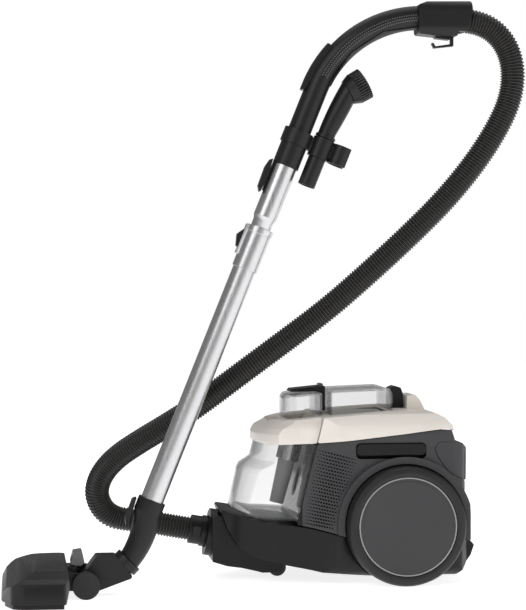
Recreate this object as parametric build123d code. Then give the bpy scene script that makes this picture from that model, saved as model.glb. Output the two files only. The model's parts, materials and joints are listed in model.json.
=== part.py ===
from build123d import *

import math
import os

# Canister vacuum cleaner with its hose, telescopic wand, handle, accessory tool and floor head.
# Millimetres. X runs to the back of the canister, Y away from the wand's side, Z up from the floor.
# The origin is on the floor under the middle of the whole machine, hose left aside.

# ---- planes and clearances ----
CAN_Y = 74.0             # centre plane of the canister
WAND_Y = -86.0           # centre plane of the wand, the handle and the floor head
GAP = 0.3                # clearance between bodies that move past each other
RUN = 0.05               # radial clearance of a shaft in its hole
WALL = 2.5               # moulded wall

# ---- canister ----
BODY_HALF = 119.0        # half width of the side panels
FRONT_HALF = 99.0        # half width of the dust container and its cover
CASE_HALF = 99.0         # half width of the main housing inside the side panels
BODY_TOP = 266.0         # highest point of the cream covers' section
BODY_LOW = 10.0          # underside of the chassis
SPLIT_LEAN = 14.0        # degrees, lean of the plane between the container and the housing
SPLIT_X = 83.0           # where that plane meets the chassis
SPLIT_Z = 92.0

# ---- rear wheels ----
WHEEL_X = 248.0
WHEEL_R = 92.0
WHEEL_WIDTH = 41.0
WHEEL_OUT = 148.0        # outer face from the canister's centre plane
RIM_R = 76.0
AXLE_R = 7.0
ARCH_R = 105.0           # outer radius of the arch round the wheel
WELL_GAP = 2.5           # wheel to wheel well

# ---- castor ----
CASTOR_X = 65.0
CASTOR_R = 14.0
CASTOR_W = 16.0
CASTOR_PIN_R = 2.5
CASTOR_STEM_R = 6.0
CASTOR_TRAIL = 10.0      # swivel axis in front of the wheel's axle

# ---- inside ----
MOTOR_X = 190.0
MOTOR_R = 46.0
MOTOR_CASE_R = 56.0
MOTOR_LOW = 40.0
MOTOR_HIGH = 172.0
FAN_R = 42.0
SHAFT_R = 4.0
REEL_X = 286.0
REEL_Z = 92.0
REEL_R = 50.0
REEL_HALF = 29.0
OUTLET_Z = 110.0         # cord outlet at the back
OUTLET_R = 5.0           # bore for the cord

# ---- clear covers on top ----
DOME_HALF = 62.0
DOME_FRONT = 69.0
DOME_BACK = 128.0
DOME_LOW = 248.0
DOME_HIGH = 292.0
CLEAR_WALL = 2.4
LID_FRONT = 141.0
LID_BACK = 238.0
LID_HALF = 66.0
LID_LOW = 259.0
LID_HIGH = 297.0

# ---- hose ----
HOSE_R = 19.0
HOSE_BORE_R = 16.5
CUFF_R = 22.5
CUFF_BORE_R = 16.0

# ---- wand and handle ----
TUBE_R = 17.8            # upper sleeve
INNER_R = 15.6           # sliding inner tube
TUBE_WALL = 1.2
LOWER_R = 17.4
WAND_TOP = (57.0, 638.0)          # handle end of the upper tube, x and z
WAND_LEAN = 21.9                  # degrees from upright
COLLAR_R = 20.5
HANDLE_R = 17.5
HANDLE_RISE = 251.5      # from the upper tube's top to the corner of the handle's bend
HANDLE_BEND = 175.0
HANDLE_WALL = 2.5
TELESCOPE = 250.0        # travel of the lower tube

# ---- floor head ----
HEAD_HALF = 136.0
HEAD_AXLE_X = -243.0
HEAD_AXLE_Z = 20.5
HEAD_WHEEL_R = 20.5
HEAD_WHEEL_W = 12.0
HEAD_PIN_R = 4.0
HEAD_WALL = 2.6
SWIVEL_LEAN = 45.0       # degrees below level of the swivel axis

# ---- the inlet and its fairing ----
INLET_START = (-47.0, 0.0, 72.0)           # front face of the inlet ring
INLET_SLOPE = 9.6                          # degrees, the inlet rises to the front
RING_R = 37.0
RING_DEPTH = 11.0
DUCT_R = 19.5
DUCT_END = 34.0
SKIRT_HALF = 42.0

# ---- the chassis floor, its foot and its screws ----
FLOOR_LOW = 11.0
FOOT_LOW = (332, 11)
FOOT_HIGH = (350, 30)
CASTOR_WELL_R = 28.0
PARK_HALF = 13.0
SCREW_R = 2.0
SCREW_HEAD_R = 3.9
SCREW_PLACES = [(215, 75), (215, -75), (318, 70), (318, -70)]
ARCH_PROUD = 9.0
EXHAUST_SLATS = 6
OUTLET_Y = -58.0

# ---- foot pedals ----
PEDAL_LOW = 199.0
PEDAL_HIGH = 217.0
PEDAL_FRONT = 173.0
PEDAL_BACK = 280.0
PEDAL_TRAVEL = 4.0

# ---- lid catch and the hump behind it ----
HUMP_HALF = 34.0
LATCH_FRONT = 243.0
LATCH_BACK = 264.5
LATCH_HALF = 17.0
LATCH_TRAVEL = 4.0

# ---- fan and reel details ----
FAN_BLADES = 7
REEL_PIN_R = 5.0

# ---- dust container and cyclone ----
NOSE_AXIS = 190.0        # upright axis that the round front of the container turns about
RELEASE_TRAVEL = 4.0
GRIP_HALF = 34.0         # finger hold in the front cover
CYCLONE_BACK = 25.0      # axis in front of the partition
CONE_R = 14.0
CONE_TIP_R = 11.0
CONE_LOW = 116.0
CONE_MID = 190.0
CONE_TOP = 226.0
MESH_R = 18.0
MESH_LOW = 184.0

# ---- hose cuff ----
CUFF_OUT = 27.0
CUFF_IN = 18.0
CUFF_TRAVEL = 1.5        # of the release button

# ---- lengths along the wand, from its top ----
UPPER_LENGTH = 89.0
COLLAR_TOP = 100.0
COLLAR_LENGTH = 66.0
LOWER_TOP = 104.0
LOWER_END = 556.0
INNER_END = 480.0
ELBOW_START = 536.0
ELBOW_MID = 590.0
ELBOW_PIVOT = 22.0
LATCH_PIVOT = 22.0

# ---- handle ----
HANDLE_END = (322.0, WAND_Y, 860.5)
SHROUD_START = 257.0
SHROUD_END = 331.0
SHROUD_HALF = 23.0

# ---- accessory tool ----
CLIP_X = 40.0            # crevice tool's axis, sideways from the wand's
JAW_R = 13.0
CREVICE_R = 13.2
BRUSH_BASE = (152.0, WAND_Y, 749.0)
BRUSH_RISE = 30.0
BRUSH_R = 25.0

# ---- floor head and neck ----
NECK_TOP = (-177.0, WAND_Y, 52.0)
HEAD_OUTLINE = [(-366.5, 7), (-365, 20), (-359, 29), (-345, 38), (-327, 47), (-309, 54.5), (-290, 57.5),
                (-279, 57), (-271, 52), (-269, 29), (-274, 7)]
HEAD_CROWN = [(0, 60), (45, 58), (95, 50), (122, 42), (137, 36)]     # height of the top, from the middle outwards


# ---------- small tools of the trade ----------
def room_for_arc(before, corner, after):
    """The largest arc that fits in a corner, using under half of each run beside it."""
    run_in = Vector(*corner) - Vector(*before)
    run_out = Vector(*after) - Vector(*corner)
    half_turn = math.radians(run_in.get_angle(run_out)) / 2
    return 0.45 * min(run_in.length, run_out.length) / math.tan(half_turn)


def face_of(points, radius):
    """A closed face whose corners are rounded, each by no more than its runs have room for."""
    count = len(points)
    wanted = radius if isinstance(radius, list) else [radius] * count
    radii = []
    for index, corner in enumerate(points):
        room = room_for_arc(points[index - 1], corner, points[(index + 1) % count])
        radii.append(min(wanted[index], room))
    return make_face(FilletPolyline(*points, radius=radii, close=True))


def slab(face, y_low, y_high):
    """A side-view face (x, z) made solid from y_low to y_high."""
    return Pos(0, y_high, 0) * extrude(Plane.XZ * face, amount=y_high - y_low)


def side_block(points, radius, half):
    """A rounded side-view outline made solid, half to each side of the centre plane."""
    return slab(face_of(points, radius), -half, half)


def box_between(x_low, x_high, y_low, y_high, z_low, z_high):
    """A plain block given by its faces."""
    block = Box(x_high - x_low, y_high - y_low, z_high - z_low)
    return Pos((x_low + x_high) / 2, (y_low + y_high) / 2, (z_low + z_high) / 2) * block


def across(x, z, radius, y_low, y_high):
    """A cylinder along Y."""
    return slab(Pos(x, z) * Circle(radius), y_low, y_high)


def upright(x, y, radius, z_low, z_high):
    """A cylinder along Z."""
    return Pos(x, y, (z_low + z_high) / 2) * Cylinder(radius, z_high - z_low)


def rod(start, end, radius):
    """A cylinder from one point to another."""
    start = Vector(*start)
    line = Vector(*end) - start
    plane = Plane(origin=start, z_dir=line)
    return extrude(plane * Circle(radius), amount=line.length)


def pipe(start, end, radius, bore):
    """A tube from one point to another."""
    return rod(start, end, radius) - rod(start, end, bore)


def cone_rod(start, end, radius_start, radius_end):
    """A taper from one point to another."""
    start = Vector(*start)
    line = Vector(*end) - start
    plane = Plane(origin=start, z_dir=line)
    return plane * (Pos(0, 0, line.length / 2) * Cone(radius_start, radius_end, line.length))


# ---------- the canister's common form ----------
def plan_outline(inset):
    """The canister seen from above, centred on its own plane."""
    half = BODY_HALF
    front = FRONT_HALF
    side = [(-33, -50), (-8, -front * 0.86), (45, -front), (100, -front), (150, -half),
            (335, -half), (353, -half * 0.72)]
    points = side + [(x, -y) for x, y in reversed(side)]
    radii = [36, 40, 90, 60, 70, 22, 22]
    face = face_of(points, radii + radii[::-1])
    return offset(face, -inset) if inset else face


def section_outline(inset):
    """The canister seen from the front: a tall rounded box."""
    height = BODY_TOP - BODY_LOW
    face = Pos(0, (BODY_TOP + BODY_LOW) / 2) * RectangleRounded(2 * BODY_HALF, height, 34)
    return offset(face, -inset) if inset else face


def nose(points, radius):
    """A form whose front is round in plan: a side profile turned about an upright axis."""
    closed = points + [(NOSE_AXIS, points[-1][1]), (NOSE_AXIS, points[0][1])]
    face = Plane.XZ * face_of(closed, radius)
    return revolve(face, Axis((NOSE_AXIS, 0, 0), (0, 0, 1)), 360)


def wheel_wells(inset):
    """The round hollows that the rear wheels turn in, grown by inset."""
    inner = WHEEL_OUT - WHEEL_WIDTH - WELL_GAP - inset
    radius = WHEEL_R + WELL_GAP + inset
    near = across(WHEEL_X, WHEEL_R, radius, -WHEEL_OUT, -inner)
    return near + mirror(near, about=Plane.XZ)


def hull(inset=0.0):
    """The canister's outer form, or its inner form when inset by a wall."""
    plan = extrude(plan_outline(inset), amount=BODY_TOP + WALL)
    section = extrude(Plane.YZ * section_outline(inset), amount=400, both=True)
    return (plan & section) - wheel_wells(inset)


HULL = hull()
HULL_INNER = hull(WALL)


def split_x(z, gap=0.0):
    """Where the leaning split plane stands at a height."""
    return SPLIT_X + (z - SPLIT_Z) * math.tan(math.radians(SPLIT_LEAN)) + gap


def shell_of(points, radius, inner_points, inner_radius):
    """A hollow moulding: the hull within one outline less the inner hull within another."""
    outer = side_block(points, radius, BODY_HALF) & HULL
    inner = side_block(inner_points, inner_radius, BODY_HALF) & HULL_INNER
    return outer - inner


# ---------- chassis and housing ----------


def along_inlet(distance):
    """A point on the inlet's axis, behind its front face."""
    angle = math.radians(INLET_SLOPE)
    x, y, z = INLET_START
    return (x + distance * math.cos(angle), y, z - distance * math.sin(angle))


def lower_chassis():
    """The black tray that carries everything."""
    outline = [(-31, 113), (-19, 82), (-4, 57), (21, 41), (71, 29), (122, 19), (201, 11),
               FOOT_LOW, FOOT_HIGH, (350, 66), (200, 66), (158, 73), (108, 85), (79, 90), (26, 97)]
    inner = [(-22, 106), (-12, 82), (2, 60), (25, 45), (73, 33), (123, 23), (201, 15),
             (330, 15), (346, 32), (346, 60), (200, 60), (157, 67), (107, 79), (78, 84), (26, 91)]
    shell = shell_of(outline, 3, inner, 2)
    deck_opening = box_between(112, 340, -CASE_HALF + 8, CASE_HALF - 8, 40, 100)
    well = upright(CASTOR_X - CASTOR_TRAIL, 0, CASTOR_WELL_R, 20, 62)
    well_wall = upright(CASTOR_X - CASTOR_TRAIL, 0, CASTOR_WELL_R + WALL, 28, 64) & side_block(outline, 3, 60)
    socket = upright(CASTOR_X - CASTOR_TRAIL, 0, CASTOR_STEM_R + RUN, 50, 74)
    slot = box_between(335, 352, -PARK_HALF, PARK_HALF, 12, 52)
    shell = shell + well_wall - well - deck_opening - socket
    shell = shell - rod(along_inlet(-5), along_inlet(DUCT_END + 1), RING_R + GAP)
    for x, y in SCREW_PLACES:
        boss = upright(x, y, SCREW_R + 3.5, FLOOR_LOW + 3, FLOOR_LOW + 19)
        hole = upright(x, y, SCREW_R + 0.02, FLOOR_LOW - 2, FLOOR_LOW + 17)
        shell = shell + boss - hole - upright(x, y, SCREW_HEAD_R + 0.2, FLOOR_LOW - 2, FLOOR_LOW + 1.2)
    return shell - slot


def inlet_skirt():
    """The hollow fairing under the inlet, from the ring back past the castor."""
    outline = [(-41, 100), (-41, 29), (-18, 22), (4, 19), (26, 14), (37, 11), (60, 11), (70, 22), (70, 28.6),
               (20.6, 40.4), (-4.4, 56.4), (-19.4, 81.4), (-27, 100)]
    inner = [(-34, 90), (-36, 33), (-17, 25), (5, 22), (27, 17), (38, 14), (58, 14), (66, 24), (66, 26.4),
             (19, 37.4), (-6.4, 54.4), (-22, 80), (-26, 90)]
    walls = side_block(outline, 2, SKIRT_HALF) - side_block(inner, 1, SKIRT_HALF - WALL)
    return walls - upright(CASTOR_X - CASTOR_TRAIL, 0, CASTOR_WELL_R, 0, 62)


def inlet_ring():
    """The round mouth that the hose plugs into, with its duct to the container and its fairing."""
    ring = rod(along_inlet(0), along_inlet(RING_DEPTH), RING_R)
    flange = rod(along_inlet(RING_DEPTH), along_inlet(DUCT_END), RING_R - 4)
    bore = rod(along_inlet(-1), along_inlet(DUCT_END - WALL), CUFF_R + 3.5)
    duct = rod(along_inlet(-1), along_inlet(DUCT_END + 1), DUCT_R - WALL)
    return ring + flange + inlet_skirt() - bore - duct


def main_housing():
    """The casing round the motor and the reel, with the leaning partition at its front."""
    low = 67.0
    high = 215.0
    gap = GAP + 0.7
    outline = [(split_x(91.5, gap), 91.5), (112, low + 20), (160, low + 8), (200, low), (347, low),
               (345, 198), (334, 210.5), (321, 232), (310, 236.8), (248, 229), (168, 220), (split_x(high, gap), high)]
    cavity = [(split_x(80, gap + WALL), 80), (split_x(80, gap + WALL) + 5, low - 8), (344, low - 8), (342, 196),
              (331, 208.5), (318, 245), (split_x(245, gap + WALL), 245)]
    half = CASE_HALF
    outer = side_block(outline, 2, half) & HULL_INNER
    inner = side_block(cavity, 1, half - WALL) & hull(2 * WALL)
    port = rod((split_x(150, -10), 0, 150), (split_x(150, 20), 0, 150), 24)
    exhaust = box_between(330, 350, -46, 46, 160, 198)
    bush = rod((330, OUTLET_Y, OUTLET_Z), (352, OUTLET_Y, OUTLET_Z), OUTLET_R + 3)
    shell = outer - inner - port - exhaust - bush
    for sign in (-1, 1):
        boss_low = sign * (half - WALL - 12)
        boss_high = sign * half
        ends = sorted((boss_low, boss_high))
        shell = shell + across(WHEEL_X, WHEEL_R, AXLE_R + 6, *ends)
    return shell - across(WHEEL_X, WHEEL_R, AXLE_R, -half, half)


def stub_axles():
    """Two steel pins that the rear wheels turn on."""
    inner = CASE_HALF - WALL - 12
    outer = WHEEL_OUT - 8
    near = across(WHEEL_X, WHEEL_R, AXLE_R, -outer, -inner)
    return [near, mirror(near, about=Plane.XZ)]


def panel_outline():
    """The side panel seen from the side."""
    return [(split_x(92, 1), 92), (109, 87), (158, 75), (200, 68), (349, 68), (349, 107), (347, 156),
            (316, 172), (299, 195), (294, 209), (300, 219), (327, 219), (321, 237), (310, 238),
            (248, 230), (168, 221), (split_x(217, 1), 216)]


def side_panel():
    """Near side panel: a charcoal skin with the wheel's arch on it."""
    region = slab(face_of(panel_outline(), 1.5), -BODY_HALF - 1, -CASE_HALF - 0.1)
    skin = (region & HULL) - HULL_INNER
    clear_of_case = box_between(60, 360, -CASE_HALF - 0.1, CASE_HALF, 0, 300)
    skin = skin - clear_of_case
    arch_low = -BODY_HALF - ARCH_PROUD
    arch = across(WHEEL_X, WHEEL_R, ARCH_R, arch_low, -BODY_HALF + WALL)
    arch = arch - across(WHEEL_X, WHEEL_R, WHEEL_R + WELL_GAP, arch_low - 1, 0)
    arch = arch & slab(face_of(panel_outline(), 1.5), -WHEEL_OUT, 0)
    slot = pedal_block(-BODY_HALF - 6, -CASE_HALF, 1.0, PEDAL_TRAVEL + GAP)
    return skin + arch - slot - across(WHEEL_X, WHEEL_R, AXLE_R + 4, -WHEEL_OUT, 0)


def pedal_block(y_low, y_high, grow, drop):
    """A rounded long block in the pedal's place, larger by grow and reaching lower by drop."""
    points = [(PEDAL_FRONT - grow, PEDAL_LOW - grow - drop), (PEDAL_BACK + grow, PEDAL_LOW - grow - drop),
              (PEDAL_BACK + grow, PEDAL_HIGH + grow), (PEDAL_FRONT - grow, PEDAL_HIGH + grow)]
    return slab(face_of(points, 7), y_low, y_high)


def foot_pedal():
    """Near foot pedal: a long bar in the side panel, pressed down."""
    plate = pedal_block(-BODY_HALF - 3, -BODY_HALF + 8, 0, 0)
    rib = box_between(215, 240, -BODY_HALF + 8, -CASE_HALF - 2, PEDAL_LOW + 4, PEDAL_LOW + 9)
    return plate + rib


def rear_top_cover():
    """The cream cover over the motor and the reel."""
    outline = [(split_x(217, 1), 217.3), (168, 222.3), (248, 231.3), (310, 239.2), (321, 238), (325, 234.5),
               (323, 244), (312, 256), (301, 261.5), (292, 263.3), (256, 265), (230, 264), (split_x(256, 1), 256)]
    inner = [(split_x(205, 1 + WALL), 205), (320, 225), (320, 239), (310, 252), (300, 258.6), (256, 262),
             (230, 261), (split_x(253, 1 + WALL), 253.3)]
    shell = shell_of(outline, 2, inner, 2)
    hump = side_block([(266.5, 258), (267.5, 285), (281, 286), (289, 277), (296, 262), (300, 258)], 2, HUMP_HALF)
    hump_hollow = side_block([(269.5, 250), (270.5, 282.5), (279, 283.5), (286.5, 275), (293, 262), (296, 250)],
                             1.5, HUMP_HALF - WALL)
    opening = box_between(LID_FRONT + 3, LID_BACK - 3, -LID_HALF + 3, LID_HALF - 3, 200, 300)
    latch_slot = box_between(LATCH_FRONT - GAP, LATCH_BACK + GAP, -LATCH_HALF - GAP, LATCH_HALF + GAP, 200, 300)
    return shell + hump - hump_hollow - opening - latch_slot


def lid_latch():
    """The dark catch behind the clear lid, pressed down to free it."""
    points = [(LATCH_FRONT, 252), (LATCH_BACK, 252), (LATCH_BACK - 0.5, 288), (LATCH_BACK - 4, 297),
              (LATCH_FRONT + 8, 299.5), (LATCH_FRONT, 296)]
    body = side_block(points, [1, 1, 3, 3, 3, 3], LATCH_HALF)
    inner_half = LATCH_HALF - WALL
    hollow = box_between(LATCH_FRONT + WALL, LATCH_BACK - WALL, -inner_half, inner_half, 250, 284)
    return body - hollow


def exhaust_cover():
    """The cover over the exhaust filter, drawn off to the back."""
    outline = [(300.5, 218.4), (295, 209), (300, 195.5), (316.5, 172.7), (347, 157), (348.4, 160), (349, 208),
               (340, 216), (334.5, 218.4)]
    outer = side_block(outline, 1.2, BODY_HALF) & HULL
    case_room = side_block([(280, 150), (347.5, 150), (347.5, 200), (336, 212.6), (336, 230), (280, 230)], 0,
                           CASE_HALF + GAP)
    side_room = side_block([(280, 150), (345.5, 150), (345.5, 200), (335, 211.5), (335, 216), (280, 216)], 0,
                           BODY_HALF)
    skin = outer - (HULL_INNER & side_room) - case_room
    for index in range(EXHAUST_SLATS):
        z = 165 + index * 7.0
        skin = skin - box_between(340, 352, -52, 52, z, z + 3)
    return skin


def rear_bumper():
    """The soft strip round the chassis's rear foot."""
    low_x, low_z = FOOT_LOW
    high_x, high_z = FOOT_HIGH
    outline = [(high_x + 0.3, 61), (360, 61), (366.5, 54), (361, 38), (348, 20), (low_x + 5, 11.5),
               (low_x + 2.4, low_z + 1.9), (high_x + 0.3, high_z - 0.4)]
    block = side_block(outline, [1, 3, 3, 6, 6, 0.5, 0.5, 0], BODY_HALF * 0.62)
    return block - box_between(330, 362, -PARK_HALF, PARK_HALF, 10, 52)


# ---------- inside the canister ----------
def filter_cartridge():
    """A cream frame with its pleated filter, under the clear lid."""
    frame = box_between(LID_FRONT + 3.5, LID_BACK - 3.5, -LID_HALF + 3.5, LID_HALF - 3.5, 218, LID_LOW - 0.5)
    media_low = (LID_FRONT + 7, -LID_HALF + 7)
    media_high = (LID_BACK - 7, LID_HALF - 7)
    media = box_between(media_low[0], media_high[0], media_low[1], media_high[1], 222, 250)
    window = box_between(media_low[0], media_high[0], media_low[1], media_high[1], 210, 270)
    return [frame - window, media]


def motor_housing():
    """The can that seals the motor to the filter's seat."""
    can = upright(MOTOR_X, 0, MOTOR_CASE_R, MOTOR_LOW, MOTOR_HIGH)
    hollow = upright(MOTOR_X, 0, MOTOR_CASE_R - WALL, MOTOR_LOW + WALL, MOTOR_HIGH - WALL)
    eye = upright(MOTOR_X, 0, 24, MOTOR_HIGH - 5, MOTOR_HIGH + 5)
    outlet = box_between(MOTOR_X, MOTOR_X + MOTOR_CASE_R + 5, -20, 20, MOTOR_LOW + 20, MOTOR_LOW + 60)
    return can - hollow - eye - outlet


def motor():
    """Motor body with its shaft and two rubber mounting rings."""
    low = MOTOR_LOW + WALL
    body = upright(MOTOR_X, 0, MOTOR_R, low + 8, MOTOR_HIGH - 42)
    shaft = upright(MOTOR_X, 0, SHAFT_R, low + 8, MOTOR_HIGH - 12)
    mount_r = MOTOR_CASE_R - WALL
    lower = upright(MOTOR_X, 0, mount_r, low, low + 8) - upright(MOTOR_X, 0, 20, low - 1, low + 9)
    upper = upright(MOTOR_X, 0, mount_r, MOTOR_HIGH - 50, MOTOR_HIGH - 42)
    upper = upper - upright(MOTOR_X, 0, MOTOR_R, MOTOR_HIGH - 60, MOTOR_HIGH - 40)
    return [body + shaft, lower, upper]


def fan():
    """The impeller on the motor's shaft."""
    low = MOTOR_HIGH - 38
    high = low + 20
    wheel = upright(MOTOR_X, 0, FAN_R, low, low + 2) + upright(MOTOR_X, 0, SHAFT_R + 5, low, high)
    for index in range(FAN_BLADES):
        blade = box_between(SHAFT_R + 4, FAN_R - 1, -0.8, 0.8, 0, 18)
        wheel = wheel + Pos(MOTOR_X, 0, low + 1) * Rot(0, 0, index * 360 / FAN_BLADES) * blade
    return wheel - upright(MOTOR_X, 0, SHAFT_R + RUN, low - 1, high + 1)


def exhaust_filter():
    """A flat filter behind the exhaust cover."""
    return box_between(335.5, 341, -44, 44, 162, 196)


def cord_reel():
    """The drum that the mains cord is drawn onto."""
    low = OUTLET_Y - REEL_HALF + 4
    high = OUTLET_Y + REEL_HALF - 4
    drum = across(REEL_X, REEL_Z + 20, 24, low, high)
    drum = drum + across(REEL_X, REEL_Z + 20, REEL_R - 4, low, low + 2)
    drum = drum + across(REEL_X, REEL_Z + 20, REEL_R - 4, high - 2, high)
    return drum - across(REEL_X, REEL_Z + 20, REEL_PIN_R + RUN, low - 1, high + 1)


def reel_housing():
    """The bracket that carries the reel's pin."""
    z = REEL_Z + 20
    low = OUTLET_Y - REEL_HALF
    high = OUTLET_Y + REEL_HALF
    pin = across(REEL_X, z, REEL_PIN_R, low, high)
    plates = across(REEL_X, z, 26, low, low + 3) + across(REEL_X, z, 26, high - 3, high)
    foot = box_between(REEL_X - 20, REEL_X + 20, low, high, 16, 22)
    legs = box_between(REEL_X - 10, REEL_X + 10, low, low + 3, 16, z)
    legs = legs + box_between(REEL_X - 10, REEL_X + 10, high - 3, high, 16, z)
    return pin + plates + foot + legs


def cord_outlet_bush():
    """The smooth bush that the mains cord leaves through."""
    bush = rod((338, OUTLET_Y, OUTLET_Z), (350.5, OUTLET_Y, OUTLET_Z), OUTLET_R + 2.8)
    lip = rod((347.5, OUTLET_Y, OUTLET_Z), (353, OUTLET_Y, OUTLET_Z), OUTLET_R + 5)
    return bush + lip - rod((330, OUTLET_Y, OUTLET_Z), (360, OUTLET_Y, OUTLET_Z), OUTLET_R)


def control_board():
    """The power board beside the motor."""
    board = box_between(262, 330, 30, 31.6, 90, 150)
    relay = box_between(270, 290, 31.6, 46, 100, 118)
    capacitor = rod((310, 31.6, 130), (310, 52, 130), 8)
    return board + relay + capacitor


def chassis_screws():
    """The screws in the chassis's floor."""
    screws = []
    for x, y in SCREW_PLACES:
        head = upright(x, y, SCREW_HEAD_R, FLOOR_LOW + 0.2, FLOOR_LOW + 1.2)
        screws.append(head + upright(x, y, SCREW_R, FLOOR_LOW + 1, FLOOR_LOW + 16))
    return screws


# ---------- wheels ----------
def rear_wheel():
    """Near wheel's rim: a dished disc with a hub bored for the axle."""
    outer = -WHEEL_OUT
    inner = outer + WHEEL_WIDTH
    disc = across(WHEEL_X, WHEEL_R, RIM_R, outer + 1, outer + 6)
    band = across(WHEEL_X, WHEEL_R, RIM_R, outer + 1, inner)
    band = band - across(WHEEL_X, WHEEL_R, RIM_R - 4, outer + 2, inner + 1)
    hub = across(WHEEL_X, WHEEL_R, AXLE_R + 6, outer + 2, inner)
    dish = across(WHEEL_X, WHEEL_R, RIM_R - 6, outer, outer + 2.5)
    return disc + band + hub - dish - across(WHEEL_X, WHEEL_R, AXLE_R + RUN, outer + 7.5, inner + 1)


def tyre():
    """Near wheel's rubber tyre."""
    outer = -WHEEL_OUT
    inner = outer + WHEEL_WIDTH
    shoulder = 6.0
    profile = face_of([(RIM_R, outer), (WHEEL_R, outer), (WHEEL_R, inner), (RIM_R, inner)],
                      [1.5, shoulder, shoulder, 1.5])
    ring = revolve(profile, axis=Axis.Y)
    return Pos(WHEEL_X, 0, WHEEL_R) * ring


def castor_fork():
    """The castor's swivelling fork with its wheel pin."""
    swivel_x = CASTOR_X - CASTOR_TRAIL
    top = upright(swivel_x, 0, 21, 31.5, 38)
    stem = upright(swivel_x, 0, CASTOR_STEM_R, 38, 63)
    cheek_low = CASTOR_W / 2 + 0.8
    fork = top + stem
    for sign in (-1, 1):
        ends = sorted((sign * cheek_low, sign * (cheek_low + 3)))
        points = [(CASTOR_X - 7, CASTOR_R - 6), (CASTOR_X + 6, CASTOR_R - 6), (swivel_x + 15, 34),
                  (swivel_x - 12, 34)]
        fork = fork + slab(face_of(points, 3), *ends)
    pin = across(CASTOR_X, CASTOR_R, CASTOR_PIN_R, -cheek_low - 3, cheek_low + 3)
    return fork + pin


def castor_wheel():
    """The castor's small wheel."""
    half = CASTOR_W / 2
    profile = face_of([(0, -half), (CASTOR_R, -half), (CASTOR_R, half), (0, half)], [0, 3, 3, 0])
    wheel = Pos(CASTOR_X, 0, CASTOR_R) * revolve(profile, axis=Axis.Y)
    return wheel - across(CASTOR_X, CASTOR_R, CASTOR_PIN_R + RUN, -half - 1, half + 1)


# ---------- dust container ----------
def bin_hull(inset=0.0):
    """The container's plan, seen from above, made tall."""
    return extrude(plan_outline(inset), amount=320)


def dust_bin():
    """The clear container, open at the top."""
    high = 213.6
    outline = [(-30, 114.3), (-30, high), (split_x(high), high), (split_x(98), 98), (27, 101.5)]
    front = [(-13, 80), (-13, 110), (-8, 136), (0, 171), (4, 178), (13, 184), (21, 190), (27, high), (27, 230)]
    inner = [(-30, 118.4), (-30, high + 9), (split_x(high + 9, -CLEAR_WALL), high + 9),
             (split_x(101, -CLEAR_WALL), 101), (27, 104.5)]
    inner_front = [(-10.4, 80), (-10.4, 110), (-5.4, 136), (2.6, 170), (6, 176), (15, 182), (23.4, 188.6),
                   (29.6, high), (29.6, 230)]
    plan = bin_hull(1.0)
    outer = side_block(outline, 2, BODY_HALF) & plan & nose(front, 2.5)
    hollow = side_block(inner, 2, BODY_HALF) & bin_hull(1.0 + CLEAR_WALL) & nose(inner_front, 2)
    port = rod((split_x(150, -10), 0, 150), (split_x(150, 20), 0, 150), 23)
    return outer - hollow - port


def bin_lid():
    """The cream front cover, the container's lid."""
    outline = [(5, 220), (42, 214.4), (split_x(216.6), 216.6), (split_x(256), 256), (90, 252.5), (42, 249), (5, 246)]
    front = [(32, 200), (23, 218), (23, 230), (28, 239), (41, 246), (60, 262)]
    outer = side_block(outline, [1, 3, 1, 1, 6, 6, 1], BODY_HALF) & bin_hull() & nose(front, [1, 2, 5, 5, 6, 1, 1, 1])
    cap = Plane.YZ * (Pos(0, 130) * RectangleRounded(2 * FRONT_HALF + 1, 2 * 127, 22))
    outer = outer & extrude(cap, amount=400, both=True)
    inner = [(5, 210), (split_x(210, -WALL), 210), (split_x(253.3, -WALL), 253.3), (90, 249.5), (43, 246), (5, 243)]
    inner_front = [(30, 190), (26.5, 220), (26.5, 229), (31, 236), (43, 243), (62, 258)]
    inner_cap = Plane.YZ * (Pos(0, 130) * RectangleRounded(2 * FRONT_HALF - 4, 2 * 124.5, 20))
    hollow = side_block(inner, 1, BODY_HALF) & bin_hull(WALL) & extrude(inner_cap, amount=400, both=True)
    hollow = hollow & nose(inner_front, 2)
    recess = side_block([(46, 262), (46, 233), (52, 227), (64, 227), (67, 262)], 2, GRIP_HALF)
    recess_wall = side_block([(43.5, 252), (43.5, 232), (51, 224.5), (66, 224.5), (69.5, 252)], 2, GRIP_HALF + WALL)
    opening = box_between(DOME_FRONT + 5, DOME_BACK - 10, -DOME_HALF + 6, DOME_HALF - 6, 200, 300)
    return (outer - hollow + (recess_wall & outer)) - recess - opening


def cyclone_dome():
    """The clear block over the cyclone."""
    outline = [(DOME_FRONT, DOME_LOW + 9), (DOME_FRONT + 3, DOME_HIGH - 9), (DOME_FRONT + 10, DOME_HIGH - 4),
               (DOME_BACK, DOME_HIGH), (DOME_BACK, DOME_LOW + 10), (DOME_BACK - 10, DOME_LOW + 5.6)]
    round_front = [(DOME_FRONT + 1, 230), (DOME_FRONT + 1, DOME_HIGH + 9)]
    outer = side_block(outline, [2, 4, 6, 3, 1, 1], DOME_HALF) & nose(round_front, 1)
    inner_outline = [(DOME_FRONT + 3, 240), (DOME_FRONT + 6, DOME_HIGH - 11), (DOME_FRONT + 12, DOME_HIGH - 7),
                     (DOME_BACK - 3, DOME_HIGH - 3), (DOME_BACK - 3, 240)]
    round_inside = [(DOME_FRONT + 1 + CLEAR_WALL, 230), (DOME_FRONT + 1 + CLEAR_WALL, DOME_HIGH + 9)]
    hollow = side_block(inner_outline, [1, 3, 4, 2, 1], DOME_HALF - CLEAR_WALL) & nose(round_inside, 1)
    cover_top = [(30, 200), (30, 245.7), (42, 249.7), (90, 253.2), (140, 258.0), (140, 200)]
    seat = side_block(cover_top, 1, DOME_HALF + 5)
    return outer - hollow - seat


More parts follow.
